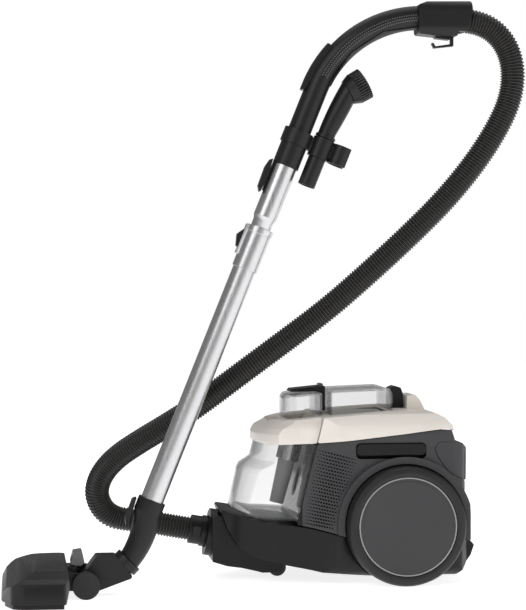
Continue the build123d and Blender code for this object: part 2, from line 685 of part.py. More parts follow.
def bin_handle():
    """The dark strip over the dome that the container is lifted by."""
    strip = side_block([(82, 291.5), (86, 296), (137, 301), (138.8, 299), (138.8, 292.4)], 1, 21)
    bar = box_between(DOME_BACK + 0.4, 138.8, -21, 21, 262, 300)
    pocket = box_between(DOME_BACK + 2.4, 137, -14, 14, 268, 302)
    foot = box_between(DOME_BACK + 0.4, 134, -21, 21, 257.6, 264)
    bridge = strip + bar + foot
    clear = side_block([(60, 280), (79, 288.6), (128, 292.4), (128, 260)], 1, 70)
    return bridge - pocket - clear


def bin_release():
    """The button in the handle's rear bar."""
    button = box_between(DOME_BACK + 2.8, 136.6, -13.5, 13.5, 276, 304)
    return button


def cyclone_at(z):
    """The point of the cyclone's axis at a height; the axis leans as the partition behind it does."""
    return (split_x(z) - CYCLONE_BACK, 0, z)


def cyclone_cone():
    """The grey cyclone body inside the container."""
    neck = pipe(cyclone_at(CONE_MID), cyclone_at(CONE_TOP), CONE_R, CONE_R - WALL)
    plate = pipe(cyclone_at(CONE_TOP - 8), cyclone_at(CONE_TOP - 5), MESH_R + 1.5, CONE_R - WALL)
    taper = cone_rod(cyclone_at(CONE_LOW), cyclone_at(CONE_MID), CONE_TIP_R, CONE_R)
    inside = cone_rod(cyclone_at(CONE_LOW), cyclone_at(CONE_MID), CONE_TIP_R - WALL, CONE_R - WALL)
    return neck + (taper - inside) + plate


def mesh_shroud():
    """The fine mesh round the cyclone."""
    return pipe(cyclone_at(MESH_LOW), cyclone_at(CONE_TOP - 8), MESH_R, MESH_R - 1.5)


# ---------- clear lid ----------
def filter_lid():
    """The long clear lid over the filter, lifted straight off."""
    outline = [(LID_FRONT, LID_LOW - 2), (LID_FRONT, LID_HIGH - 2), (LID_BACK - 4, LID_HIGH + 1.5),
               (LID_BACK, LID_HIGH - 7), (LID_BACK, LID_LOW - 2)]
    outer = side_block(outline, [0, 5, 5, 5, 0], LID_HALF)
    inner = [(LID_FRONT + CLEAR_WALL, 230), (LID_FRONT + CLEAR_WALL, LID_HIGH - 5),
             (LID_BACK - 6, LID_HIGH - 1.5), (LID_BACK - CLEAR_WALL, LID_HIGH - 9), (LID_BACK - CLEAR_WALL, 230)]
    hollow = side_block(inner, [0, 4, 4, 3, 0], LID_HALF - CLEAR_WALL)
    seat = side_block([(130, 200), (130, 256.6), (141, 257.6), (230, 264.4), (250, 265.4), (250, 200)], 0.5,
                      LID_HALF + 5)
    return outer - hollow - seat


# ---------- hose ----------
def canister_end(distance):
    """A point on the inlet's axis in the machine's frame, in front of the inlet ring's face."""
    x, y, z = along_inlet(-distance)
    return (x, y + CAN_Y, z)


def hose_cuff():
    """The cuff that plugs the hose into the canister."""
    body = rod(canister_end(-RING_DEPTH), canister_end(CUFF_OUT), CUFF_R)
    plug = rod(canister_end(-CUFF_IN - 8), canister_end(0), CUFF_R - 1.5)
    collar = rod(canister_end(2), canister_end(9), CUFF_R + 2)
    bore = rod(canister_end(-40), canister_end(CUFF_OUT + 1), CUFF_BORE_R)
    pocket = cuff_button_block(GAP)
    return body + plug + collar - bore - pocket - Pos(0, CUFF_TRAVEL + GAP, 0) * pocket


def cuff_button_block(grow):
    """The release button's block on the cuff's near side."""
    angle = INLET_SLOPE
    block = Box(13 + 2 * grow, 3.4 + grow, 15 + 2 * grow)
    x, y, z = canister_end(17)
    return Pos(x, y - CUFF_R + 1.2, z) * Rot(0, angle, 0) * block


def cuff_button():
    """The button that frees the hose."""
    return cuff_button_block(0)


def hose_route():
    """The hose's route from the handle's end to the canister's cuff."""
    return [
        HANDLE_END,
        handle_exit(28.0),
        (380.0, -86.0, 843.0),
        (400.0, -85.0, 815.0),
        (407.5, -83.0, 779.0),
        (402.0, -80.0, 739.0),
        (383.0, -76.0, 697.0),
        (352.0, -72.0, 648.0),
        (307.0, -68.0, 592.0),
        (250.0, -64.0, 535.0),
        (188.0, -60.0, 478.0),
        (124.0, -55.0, 422.0),
        (50.0, -50.0, 367.0),
        (-16.0, -45.0, 318.0),
        (-70.0, -36.0, 277.0),
        (-116.0, -18.0, 246.0),
        (-156.0, 4.0, 220.0),
        (-190.0, 27.0, 195.0),
        (-212.0, 47.0, 168.0),
        (-221.0, 61.0, 139.0),
        (-213.0, 70.0, 113.0),
        (-196.0, 74.5, 97.0),
        (-170.0, 75.5, 91.5),
        (-138.0, 74.5, 88.5),
        canister_end(CUFF_OUT + 31.0),
        canister_end(CUFF_OUT),
    ]


def route_radii(points):
    """Arc radius at each inner point: as large as the two runs beside it allow."""
    radii = []
    for index in range(1, len(points) - 1):
        radii.append(room_for_arc(points[index - 1], points[index], points[index + 1]))
    return radii


def suction_hose():
    """The flexible hose from the handle to the canister, hollow."""
    route = hose_route()
    radii = route_radii(route)
    path = FilletPolyline(*route, radius=radii)
    print("hose radii", [round(value) for value in radii])
    print("hose length", round(path.length))
    start = Plane(origin=path @ 0, z_dir=path % 0)
    outer = sweep(start * Circle(HOSE_R), path=path)
    inner = sweep(start * Circle(HOSE_BORE_R), path=path)
    hose = outer - inner
    expected = math.pi * (HOSE_R ** 2 - HOSE_BORE_R ** 2) * path.length
    print("hose volume over section times length", round(hose.volume / expected, 4))
    return hose


# ---------- wand ----------
def wand_point(distance, side=0.0):
    """A point down the wand's axis from the upper tube's top, moved sideways to the back by side."""
    lean = math.radians(WAND_LEAN)
    x = WAND_TOP[0] - distance * math.sin(lean) + side * math.cos(lean)
    z = WAND_TOP[1] - distance * math.cos(lean) - side * math.sin(lean)
    return (x, WAND_Y, z)


def upper_tube():
    """The bright upper tube, drawn down to the inner tube that slides in the lower one."""
    sleeve = rod(wand_point(0), wand_point(UPPER_LENGTH - 7), TUBE_R)
    taper = cone_rod(wand_point(UPPER_LENGTH - 7), wand_point(UPPER_LENGTH), TUBE_R, INNER_R)
    inner = rod(wand_point(UPPER_LENGTH), wand_point(INNER_END), INNER_R)
    bore = rod(wand_point(-1), wand_point(INNER_END + 1), INNER_R - TUBE_WALL)
    socket = rod(wand_point(-1), wand_point(32), TUBE_R - TUBE_WALL)
    return sleeve + taper + inner - bore - socket


def lower_tube():
    """The bright lower tube."""
    return pipe(wand_point(LOWER_TOP), wand_point(LOWER_END), LOWER_R, LOWER_R - TUBE_WALL)


def tube_collar():
    """The collar at the lower tube's top, with its seal ring and the telescope button's slot."""
    body = rod(wand_point(COLLAR_TOP), wand_point(COLLAR_TOP + COLLAR_LENGTH), LOWER_R + 2)
    ring = rod(wand_point(COLLAR_TOP), wand_point(COLLAR_TOP + 9), COLLAR_R)
    tray = frame_block(COLLAR_TOP + 1, COLLAR_TOP + 48, -LOWER_R - 5, -LOWER_R + 2, 8)
    bore = rod(wand_point(LOWER_TOP), wand_point(COLLAR_TOP + COLLAR_LENGTH + 1), LOWER_R)
    mouth = rod(wand_point(COLLAR_TOP - 1), wand_point(LOWER_TOP + 1), INNER_R + RUN)
    pocket = frame_block(COLLAR_TOP + 3, COLLAR_TOP + 46, -LOWER_R - 8, -LOWER_R - 1.6, 6.4)
    return body + ring + tray - bore - mouth - pocket


def frame_block(near, far, low, high, half):
    """A block in the wand's own frame: down the axis from near to far, sideways from low to high."""
    block = Box(high - low, 2 * half, far - near)
    x, y, z = wand_point((near + far) / 2, (low + high) / 2)
    return Pos(x, y, z) * Rot(0, WAND_LEAN, 0) * block


def telescope_button():
    """The slider that frees the telescope."""
    inner = -LOWER_R - 1.8
    points = [(inner, 0), (inner - 11, 17), (inner - 6, 34), (inner, 36)]
    return wand_wedge(points, COLLAR_TOP + 4, 6)


def wand_wedge(points, start, half):
    """A block whose outline is given as sideways and down-axis pairs, from a start down the wand."""
    placed = []
    for side, down in points:
        x, y, z = wand_point(start + down, side)
        placed.append((x, z))
    return slab(face_of(placed, 1), WAND_Y - half, WAND_Y + half)


# ---------- handle ----------


def handle_path():
    """The handle's centre line: straight from the wand, one bend, straight to the hose."""
    return FilletPolyline(wand_point(28), wand_point(-HANDLE_RISE), HANDLE_END, radius=[HANDLE_BEND])


def handle_exit(distance):
    """A point past the handle's end, on its last straight."""
    line = (Vector(*HANDLE_END) - Vector(*wand_point(-HANDLE_RISE))).normalized()
    point = Vector(*HANDLE_END) + line * distance
    return (point.X, point.Y, point.Z)


def bend_centre():
    """The centre of the handle's bend."""
    corner = Vector(*wand_point(-HANDLE_RISE))
    down = (Vector(*wand_point(0)) - corner).normalized()
    back = (Vector(*HANDLE_END) - corner).normalized()
    half_angle = math.radians(down.get_angle(back)) / 2
    middle = (down + back).normalized()
    return corner + middle * (HANDLE_BEND / math.sin(half_angle))


def handle_body():
    """The handle's tube, from the wand's spigot to the hose."""
    path = handle_path()
    start = Plane(origin=path @ 0, z_dir=path % 0)
    grip = sweep(start * Circle(HANDLE_R), path=path)
    bore = sweep(start * Circle(HANDLE_R - HANDLE_WALL), path=path)
    spigot_cut = rod(wand_point(30), wand_point(-0.4), 40) - rod(wand_point(31), wand_point(-1), TUBE_R - TUBE_WALL)
    seat = rod(wand_point(-0.4), wand_point(-52), TUBE_R + 2.2) - rod(wand_point(0), wand_point(-53), TUBE_R - 3)
    tongue = frame_block(-4, 46, -TUBE_R - 1.6, -TUBE_R - 0.2, 6)
    return grip + seat - bore - spigot_cut + tongue


def grip_inlay():
    """The soft dotted grip on the handle's inner side."""
    path = handle_path()
    trimmed = path.trim(0.40, 0.84)
    start = Plane(origin=trimmed @ 0, z_dir=trimmed % 0)
    skin = sweep(start * Circle(HANDLE_R + 1.3), path=trimmed) - sweep(start * Circle(HANDLE_R), path=trimmed)
    cutter = [(60, 700), (93, 690), (118, 757), (155, 808), (204, 840), (275, 851), (275, 800), (60, 600)]
    lower = slab(face_of(cutter, 5), WAND_Y - 40, WAND_Y + 40)
    return skin & lower


def handle_shroud():
    """The hose end's shroud, with the parking hook under it."""
    outline = [(SHROUD_START, 838), (290, 834.5), (316, 835), (318, 842), (SHROUD_END, 842),
               (SHROUD_END + 7.5, 876), (SHROUD_END + 7, 888), (270, 886.5), (256, 881)]
    body = slab(face_of(outline, [3, 2, 2, 2, 4, 3, 3, 5, 4]), WAND_Y - SHROUD_HALF, WAND_Y + SHROUD_HALF)
    section = Pos(WAND_Y, 861) * RectangleRounded(2 * SHROUD_HALF, 56, 17)
    body = body & extrude(Plane.YZ * section, amount=500)
    path = handle_path()
    start = Plane(origin=path @ 0, z_dir=path % 0)
    passage = sweep(start * Circle(HANDLE_R), path=path)
    mouth = rod(handle_exit(-1), handle_exit(40), HOSE_R + 1.2)
    block = slab(face_of([(281, 839), (285, 832), (306, 830), (311, 836), (311, 839)], 1), WAND_Y - 8, WAND_Y + 8)
    leg = slab(face_of([(308.5, 838), (308.5, 824), (285, 820.4), (281.5, 826), (279.4, 825), (283, 817.4),
                        (312.5, 820.8), (312.5, 838)], 0.6), WAND_Y - 5, WAND_Y + 5)
    return body + block + leg - passage - mouth


def suction_slider():
    """The slider that opens the handle's bleed hole."""
    path = handle_path()
    trimmed = path.trim(0.345, 0.52)
    start = Plane(origin=trimmed @ 0, z_dir=trimmed % 0)
    skin = sweep(start * Circle(HANDLE_R + 5.5), path=trimmed)
    skin = skin - sweep(start * Circle(HANDLE_R + GAP), path=trimmed)
    keep = [(60, 730), (86, 754), (101, 779), (131, 818), (150, 838), (60, 860)]
    return skin & slab(face_of(keep, 2), WAND_Y - 11, WAND_Y + 11)


def handle_latch():
    """The latch at the handle's foot, pressed to free the tube."""
    inner = -TUBE_R - 3.9
    points = [(inner, -6), (inner - 4, -3), (inner - 7, 10), (inner - 6, 40), (inner, 50),
              (-TUBE_R - 1.9, LATCH_PIVOT)]
    return wand_wedge(points, 2, 8)


# ---------- accessory tool ----------


def tool_clip():
    """The double clip: round the wand, round the tool, and an empty open jaw."""
    band = pipe(wand_point(-57), wand_point(-35), TUBE_R + 4.6, TUBE_R + 2.2)
    ring_low = -60.0
    ring_high = -30.0
    ring = rod(wand_point(ring_low, CLIP_X), wand_point(ring_high, CLIP_X), 16.5)
    web = frame_block(ring_low + 4, ring_high - 5, TUBE_R + 3.5, CLIP_X - 14, 7)
    jaw_x = CLIP_X + 31
    jaw = rod(wand_point(ring_low, jaw_x), wand_point(ring_high, jaw_x), JAW_R + 2.6)
    jaw_web = frame_block(ring_low + 4, ring_high - 5, CLIP_X + 14, jaw_x - JAW_R - 1, 7)
    bore = rod(wand_point(ring_low - 1, CLIP_X), wand_point(ring_high + 1, CLIP_X), CREVICE_R + 0.25)
    jaw_bore = rod(wand_point(ring_low - 1, jaw_x), wand_point(ring_high + 1, jaw_x), JAW_R)
    throat = frame_block(ring_low - 1, ring_high + 1, jaw_x + JAW_R * 0.45, jaw_x + JAW_R + 10, JAW_R * 0.8)
    return band + ring + web + jaw + jaw_web - bore - jaw_bore - throat


def crevice_tool():
    """The crevice tool, from its slanted tip up to the brush."""
    body = rod(wand_point(15, CLIP_X), wand_point(-72, CLIP_X), CREVICE_R)
    hollow = rod(wand_point(20, CLIP_X), wand_point(-72, CLIP_X), CREVICE_R - 2)
    tip_cut = frame_block(-2, 40, CLIP_X + 2, CLIP_X + 40, 30)
    neck = tool_neck(CREVICE_R, 17.5) - tool_neck(CREVICE_R - 2, 15.5)
    stop = pipe(wand_point(-61.5, CLIP_X), wand_point(-66, CLIP_X), CREVICE_R + 2.2, CREVICE_R - 1)
    return (body - hollow) + stop + neck


def tool_neck(low_radius, high_radius):
    """The bend from the crevice tool up into the brush holder."""
    low = Vector(*wand_point(-72, CLIP_X))
    rise = Vector(*wand_point(-73, CLIP_X)) - low
    mouth = Vector(*BRUSH_BASE)
    lean = Vector(math.cos(math.radians(BRUSH_RISE)), 0, math.sin(math.radians(BRUSH_RISE)))
    start = Plane(origin=low, z_dir=rise) * Circle(low_radius)
    middle_point = low + rise * 26 + lean * 4
    middle = Plane(origin=middle_point, z_dir=rise + lean) * Circle((low_radius + high_radius) / 2)
    end = Plane(origin=mouth, z_dir=lean) * Circle(high_radius)
    return loft([start, middle, end])


def brush_point(distance):
    """A point on the brush's axis."""
    angle = math.radians(BRUSH_RISE)
    x, y, z = BRUSH_BASE
    return (x + distance * math.cos(angle), y, z + distance * math.sin(angle))


def brush_holder():
    """The round head that the bristles stand in."""
    flare = cone_rod(brush_point(0), brush_point(13), 19, BRUSH_R - 0.5)
    hollow = cone_rod(brush_point(-1), brush_point(14), 15.5, 16.5)
    return flare - hollow


def brush_bristles():
    """The ring of bristles, as one closed ring."""
    return pipe(brush_point(13), brush_point(30), BRUSH_R, 16.5)


# ---------- floor head ----------


def swivel_point(distance):
    """A point down the swivel axis from the elbow's end."""
    angle = math.radians(SWIVEL_LEAN)
    x, y, z = NECK_TOP
    return (x - distance * math.cos(angle), y, z - distance * math.sin(angle))


def elbow_solid(top_radius, low_radius, extra):
    """The bend from the tube into the neck."""
    top = Plane(origin=wand_point(LOWER_END - extra), z_dir=Vector(*wand_point(1)) - Vector(*wand_point(0)))
    low = Plane(origin=swivel_point(extra), z_dir=Vector(*swivel_point(1)) - Vector(*swivel_point(0)))
    middle_point = (Vector(*wand_point(ELBOW_MID)) + Vector(*swivel_point(-26))) * 0.5
    middle = Plane(origin=middle_point, z_dir=top.z_dir + low.z_dir)
    sections = [top * Circle(top_radius), middle * Circle((top_radius + low_radius) / 2), low * Circle(low_radius)]
    return loft(sections)


def elbow():
    """The elbow on the lower tube's end."""
    cup = rod(wand_point(ELBOW_START), wand_point(LOWER_END), LOWER_R + 3.6)
    cup_bore = rod(wand_point(ELBOW_START - 1), wand_point(LOWER_END + 0.01), LOWER_R)
    bend = elbow_solid(LOWER_R + 3.6, 17.0, 0) - elbow_solid(LOWER_R - 2, 14.4, 0.001)
    return cup - cup_bore + bend


def elbow_latch():
    """The latch on the elbow's rim."""
    outer = -LOWER_R - 3.6
    points = [(outer - 2.4, 0), (outer - 8, 5), (outer - 7, 36), (outer - 1, 48), (outer - 0.4, ELBOW_PIVOT)]
    return wand_wedge(points, ELBOW_START + 4, 8)


def neck():
    """The neck that swivels in the elbow and tilts the head."""
    collar = pipe(swivel_point(GAP), swivel_point(12), 21.5, 15)
    barrel = across(HEAD_AXLE_X, HEAD_AXLE_Z, 12, WAND_Y - 24, WAND_Y + 24)
    points = [(swivel_point(12)[0] + 14.0, swivel_point(12)[2] - 16.0), (swivel_point(12)[0] - 13.0, 60.0),
              (HEAD_AXLE_X + 16, 60), (HEAD_AXLE_X - 4, 33), (HEAD_AXLE_X, 9), (HEAD_AXLE_X + 20, 9)]
    body = slab(face_of(points, 4), WAND_Y - 21, WAND_Y + 21)
    duct = rod(swivel_point(-1), swivel_point(30), 14.0)
    pin = across(HEAD_AXLE_X, HEAD_AXLE_Z, HEAD_PIN_R + RUN, WAND_Y - 30, WAND_Y + 30)
    clear = rod(swivel_point(GAP), swivel_point(-40), 40)
    return collar + (body - clear) + barrel - duct - pin


def head_plan(inset):
    """The floor head seen from above."""
    half = HEAD_HALF
    points = [(-366.5, -half * 0.62), (-352, -half * 0.94), (-335, -half), (-276, -half), (-266, -half * 0.85),
              (-266, half * 0.85), (-276, half), (-335, half), (-352, half * 0.94), (-366.5, half * 0.62)]
    radii = [18, 14, 12, 7, 7, 7, 7, 12, 14, 18]
    face = Pos(0, WAND_Y) * face_of(points, radii)
    return offset(face, -inset) if inset else face


def head_crown(drop):
    """The head seen from the front: highest in the middle and low at its ends."""
    right = [(WAND_Y + y, z - drop) for y, z in HEAD_CROWN]
    left = [(WAND_Y - y, z - drop) for y, z in reversed(HEAD_CROWN[1:])]
    low = [(WAND_Y + HEAD_CROWN[-1][0], -20), (WAND_Y - HEAD_CROWN[-1][0], -20)]
    outline = left + right + low
    return extrude(Plane.YZ * face_of(outline, 14), amount=420, both=True)


def head_shell():
    """The floor head's cover, with its two rear arms for the axle."""
    plan = extrude(head_plan(0), amount=90)
    outer = slab(face_of(HEAD_OUTLINE, [2, 4, 6, 12, 12, 12, 12, 6, 4, 4, 2]), -400, 400) & plan & head_crown(0)
    inner_points = [(-362, -5), (-362, 18), (-357, 26.5), (-344, 35), (-326, 44), (-308.5, 51.5), (-290, 54.5),
                    (-280, 54), (-274, 50), (-272, 29), (-276, -5)]
    hollow = slab(face_of(inner_points, 2), -400, 400) & extrude(head_plan(HEAD_WALL), amount=90)
    hollow = hollow & head_crown(HEAD_WALL)
    shell = outer - hollow
    for sign in (-1, 1):
        y_low, y_high = sorted((WAND_Y + sign * 25, WAND_Y + sign * 36))
        arm = [(-273, 12), (-273, 44), (HEAD_AXLE_X - 2, 32), (HEAD_AXLE_X + 9, 20), (HEAD_AXLE_X, 11)]
        shell = shell + slab(face_of(arm, 3), y_low, y_high)
    ledge = box_between(-274, -257, WAND_Y - 22, WAND_Y + 22, 38, 45.6)
    throat = rod((-300, WAND_Y, 25), (-262, WAND_Y, 25), 12)
    return shell + ledge - throat - across(HEAD_AXLE_X, HEAD_AXLE_Z, HEAD_PIN_R + RUN, -400, 400)


def head_wheels():
    """The head's two wheels, pressed on the pin that runs through its arms and the neck."""
    reach = 36.6 + HEAD_WHEEL_W
    pair = across(HEAD_AXLE_X, HEAD_AXLE_Z, HEAD_PIN_R, WAND_Y - reach, WAND_Y + reach)
    for sign in (-1, 1):
        y_low, y_high = sorted((WAND_Y + sign * 36.6, WAND_Y + sign * reach))
        pair = pair + across(HEAD_AXLE_X, HEAD_AXLE_Z, HEAD_WHEEL_R, y_low, y_high)
    return pair


def sole_plate():
    """The plate under the head, with its suction mouth."""
    plan = extrude(head_plan(HEAD_WALL + 0.4), amount=90)
    plate = (plan & box_between(-361, -277, -400, 400, 0.6, 6.6))
    mouth = box_between(-330, -306, WAND_Y - HEAD_HALF + 22, WAND_Y + HEAD_HALF - 22, -1, 12)
    front = brush_slot(-346, 0.3)
    back = brush_slot(-292, 0.3)
    return plate - mouth - front - back


def brush_slot(x, grow):
    """The long slot that a brush strip stands in."""
    half = HEAD_HALF - 24
    return box_between(x - 3 - grow, x + 3 + grow, WAND_Y - half - grow, WAND_Y + half + grow, 3.2 - grow * 12, 14)


def brush_strips():
    """Two bristle strips that the floor pedal lowers."""
    carrier = box_between(-349, -289, WAND_Y - 8, WAND_Y + 8, 14, 17)
    strips = brush_slot(-346, 0) + brush_slot(-292, 0) + carrier
    return strips


def floor_pedal():
    """The rocker behind the head that changes it from carpet to floor."""
    points = [(-265.5, 48), (-261, 66), (-248, 68), (-244, 50), (-250, 46)]
    return slab(face_of(points, 2.5), WAND_Y - 20, WAND_Y + 20)


# ---------- every node ----------
def moved(shape):
    """A canister piece, or a group of them, put on the canister's own plane."""
    if isinstance(shape, list):
        return [Pos(0, CAN_Y, 0) * piece for piece in shape]
    return Pos(0, CAN_Y, 0) * shape


def far_side(shape):
    """The far twin of a near piece."""
    return mirror(shape, about=Plane.XZ)


def nodes():
    """Each sub-part by its name, in the machine's frame."""
    made = {
        "lower_chassis": moved(lower_chassis()),
        "inlet_ring": moved(inlet_ring()),
        "main_housing": moved(main_housing()),
        "side_panel_near": moved(side_panel()),
        "side_panel_far": moved(far_side(side_panel())),
        "rear_top_cover": moved(rear_top_cover()),
        "exhaust_cover": moved(exhaust_cover()),
        "rear_bumper": moved(rear_bumper()),
        "stub_axles": moved(stub_axles()),
        "rewind_pedal": moved(foot_pedal()),
        "power_pedal": moved(far_side(foot_pedal())),
        "lid_latch": moved(lid_latch()),
        "filter_lid": moved(filter_lid()),
        "filter_cartridge": moved(filter_cartridge()),
        "motor_housing": moved(motor_housing()),
        "motor": moved(motor()),
        "fan": moved(fan()),
        "exhaust_filter": moved(exhaust_filter()),
        "cord_reel": moved(cord_reel()),
        "reel_housing": moved(reel_housing()),
        "cord_outlet_bush": moved(cord_outlet_bush()),
        "control_board": moved(control_board()),
        "chassis_screws": moved(chassis_screws()),
        "rear_wheel_near": moved(rear_wheel()),
        "rear_wheel_far": moved(far_side(rear_wheel())),
        "tyre_near": moved(tyre()),
        "tyre_far": moved(far_side(tyre())),
        "castor_fork": moved(castor_fork()),
        "castor_wheel": moved(castor_wheel()),
        "dust_bin": moved(dust_bin()),
        "bin_lid": moved(bin_lid()),
        "cyclone_dome": moved(cyclone_dome()),
        "bin_handle": moved(bin_handle()),
        "bin_release": moved(bin_release()),
        "cyclone_cone": moved(cyclone_cone()),
        "mesh_shroud": moved(mesh_shroud()),
        "hose_cuff": hose_cuff(),
        "cuff_button": cuff_button(),
        "suction_hose": suction_hose(),
        "handle_body": handle_body(),
        "grip_inlay": grip_inlay(),
        "handle_shroud": handle_shroud(),
        "suction_slider": suction_slider(),
        "handle_latch": handle_latch(),
        "tool_clip": tool_clip(),
        "crevice_tool": crevice_tool(),
        "brush_holder": brush_holder(),
        "brush_bristles": brush_bristles(),
        "upper_tube": upper_tube(),
        "lower_tube": lower_tube(),
        "tube_collar": tube_collar(),
        "telescope_button": telescope_button(),
        "elbow": elbow(),
        "elbow_latch": elbow_latch(),
        "neck": neck(),
        "head_shell": head_shell(),
        "head_wheels": head_wheels(),
        "sole_plate": sole_plate(),
        "brush_strips": brush_strips(),
        "floor_pedal": floor_pedal(),
    }
    return made


def write_nodes():
    """Write one STEP file for each sub-part."""
    os.makedirs("parts", exist_ok=True)
    for name, shape in nodes().items():
        solids = []
        for piece in shape if isinstance(shape, list) else [shape]:
            solids.extend(piece.solids())
        export_step(Compound(children=solids), f"parts/{name}.step")


if __name__ == "__main__":
    write_nodes()
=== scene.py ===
import json
import logging
import math
from dataclasses import dataclass, field
from enum import Enum
from typing import Optional, Sequence, Union

import bmesh
import bpy
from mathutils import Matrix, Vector
from mathutils.bvhtree import BVHTree

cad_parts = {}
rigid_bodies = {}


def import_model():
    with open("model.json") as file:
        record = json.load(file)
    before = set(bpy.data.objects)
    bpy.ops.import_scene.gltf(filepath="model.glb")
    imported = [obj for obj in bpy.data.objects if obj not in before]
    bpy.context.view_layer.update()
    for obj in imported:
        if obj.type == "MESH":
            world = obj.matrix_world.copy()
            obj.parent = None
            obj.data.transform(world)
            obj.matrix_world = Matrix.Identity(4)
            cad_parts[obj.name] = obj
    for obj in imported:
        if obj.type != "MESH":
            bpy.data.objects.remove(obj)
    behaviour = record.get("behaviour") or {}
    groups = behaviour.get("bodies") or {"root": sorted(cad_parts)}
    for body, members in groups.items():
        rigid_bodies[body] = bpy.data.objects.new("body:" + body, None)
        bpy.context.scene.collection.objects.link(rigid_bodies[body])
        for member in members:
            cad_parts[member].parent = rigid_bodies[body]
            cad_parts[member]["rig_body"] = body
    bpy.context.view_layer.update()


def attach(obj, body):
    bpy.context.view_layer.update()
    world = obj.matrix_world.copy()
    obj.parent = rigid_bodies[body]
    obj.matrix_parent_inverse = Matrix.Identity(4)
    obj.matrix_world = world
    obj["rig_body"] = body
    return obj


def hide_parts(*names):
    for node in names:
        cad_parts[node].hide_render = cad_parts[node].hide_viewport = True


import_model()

LOG = logging.getLogger("canister_vacuum")
MM = 0.001
Colour = tuple[float, float, float]
Point = tuple[float, float, float]
Number = Union[int, float]


# ---------------------------------------------------------------- shader writing
class Value:
    """A shader socket that Python's operators can be written on."""

    def __init__(self, graph: "Graph", socket: bpy.types.NodeSocket) -> None:
        """Keep the graph and the socket it wraps."""
        self.graph = graph
        self.socket = socket

    def __add__(self, other: "Operand") -> "Value":
        """Sum of two values."""
        return self.graph.math("ADD", self, other)

    def __sub__(self, other: "Operand") -> "Value":
        """Difference of two values."""
        return self.graph.math("SUBTRACT", self, other)

    def __rsub__(self, other: Number) -> "Value":
        """A number less this value."""
        return self.graph.math("SUBTRACT", other, self)

    def __mul__(self, other: "Operand") -> "Value":
        """Product of two values."""
        return self.graph.math("MULTIPLY", self, other)

    def __pow__(self, other: "Operand") -> "Value":
        """This value to a power."""
        return self.graph.math("POWER", self, other)

    __radd__ = __add__
    __rmul__ = __mul__


Operand = Union[Value, Number]


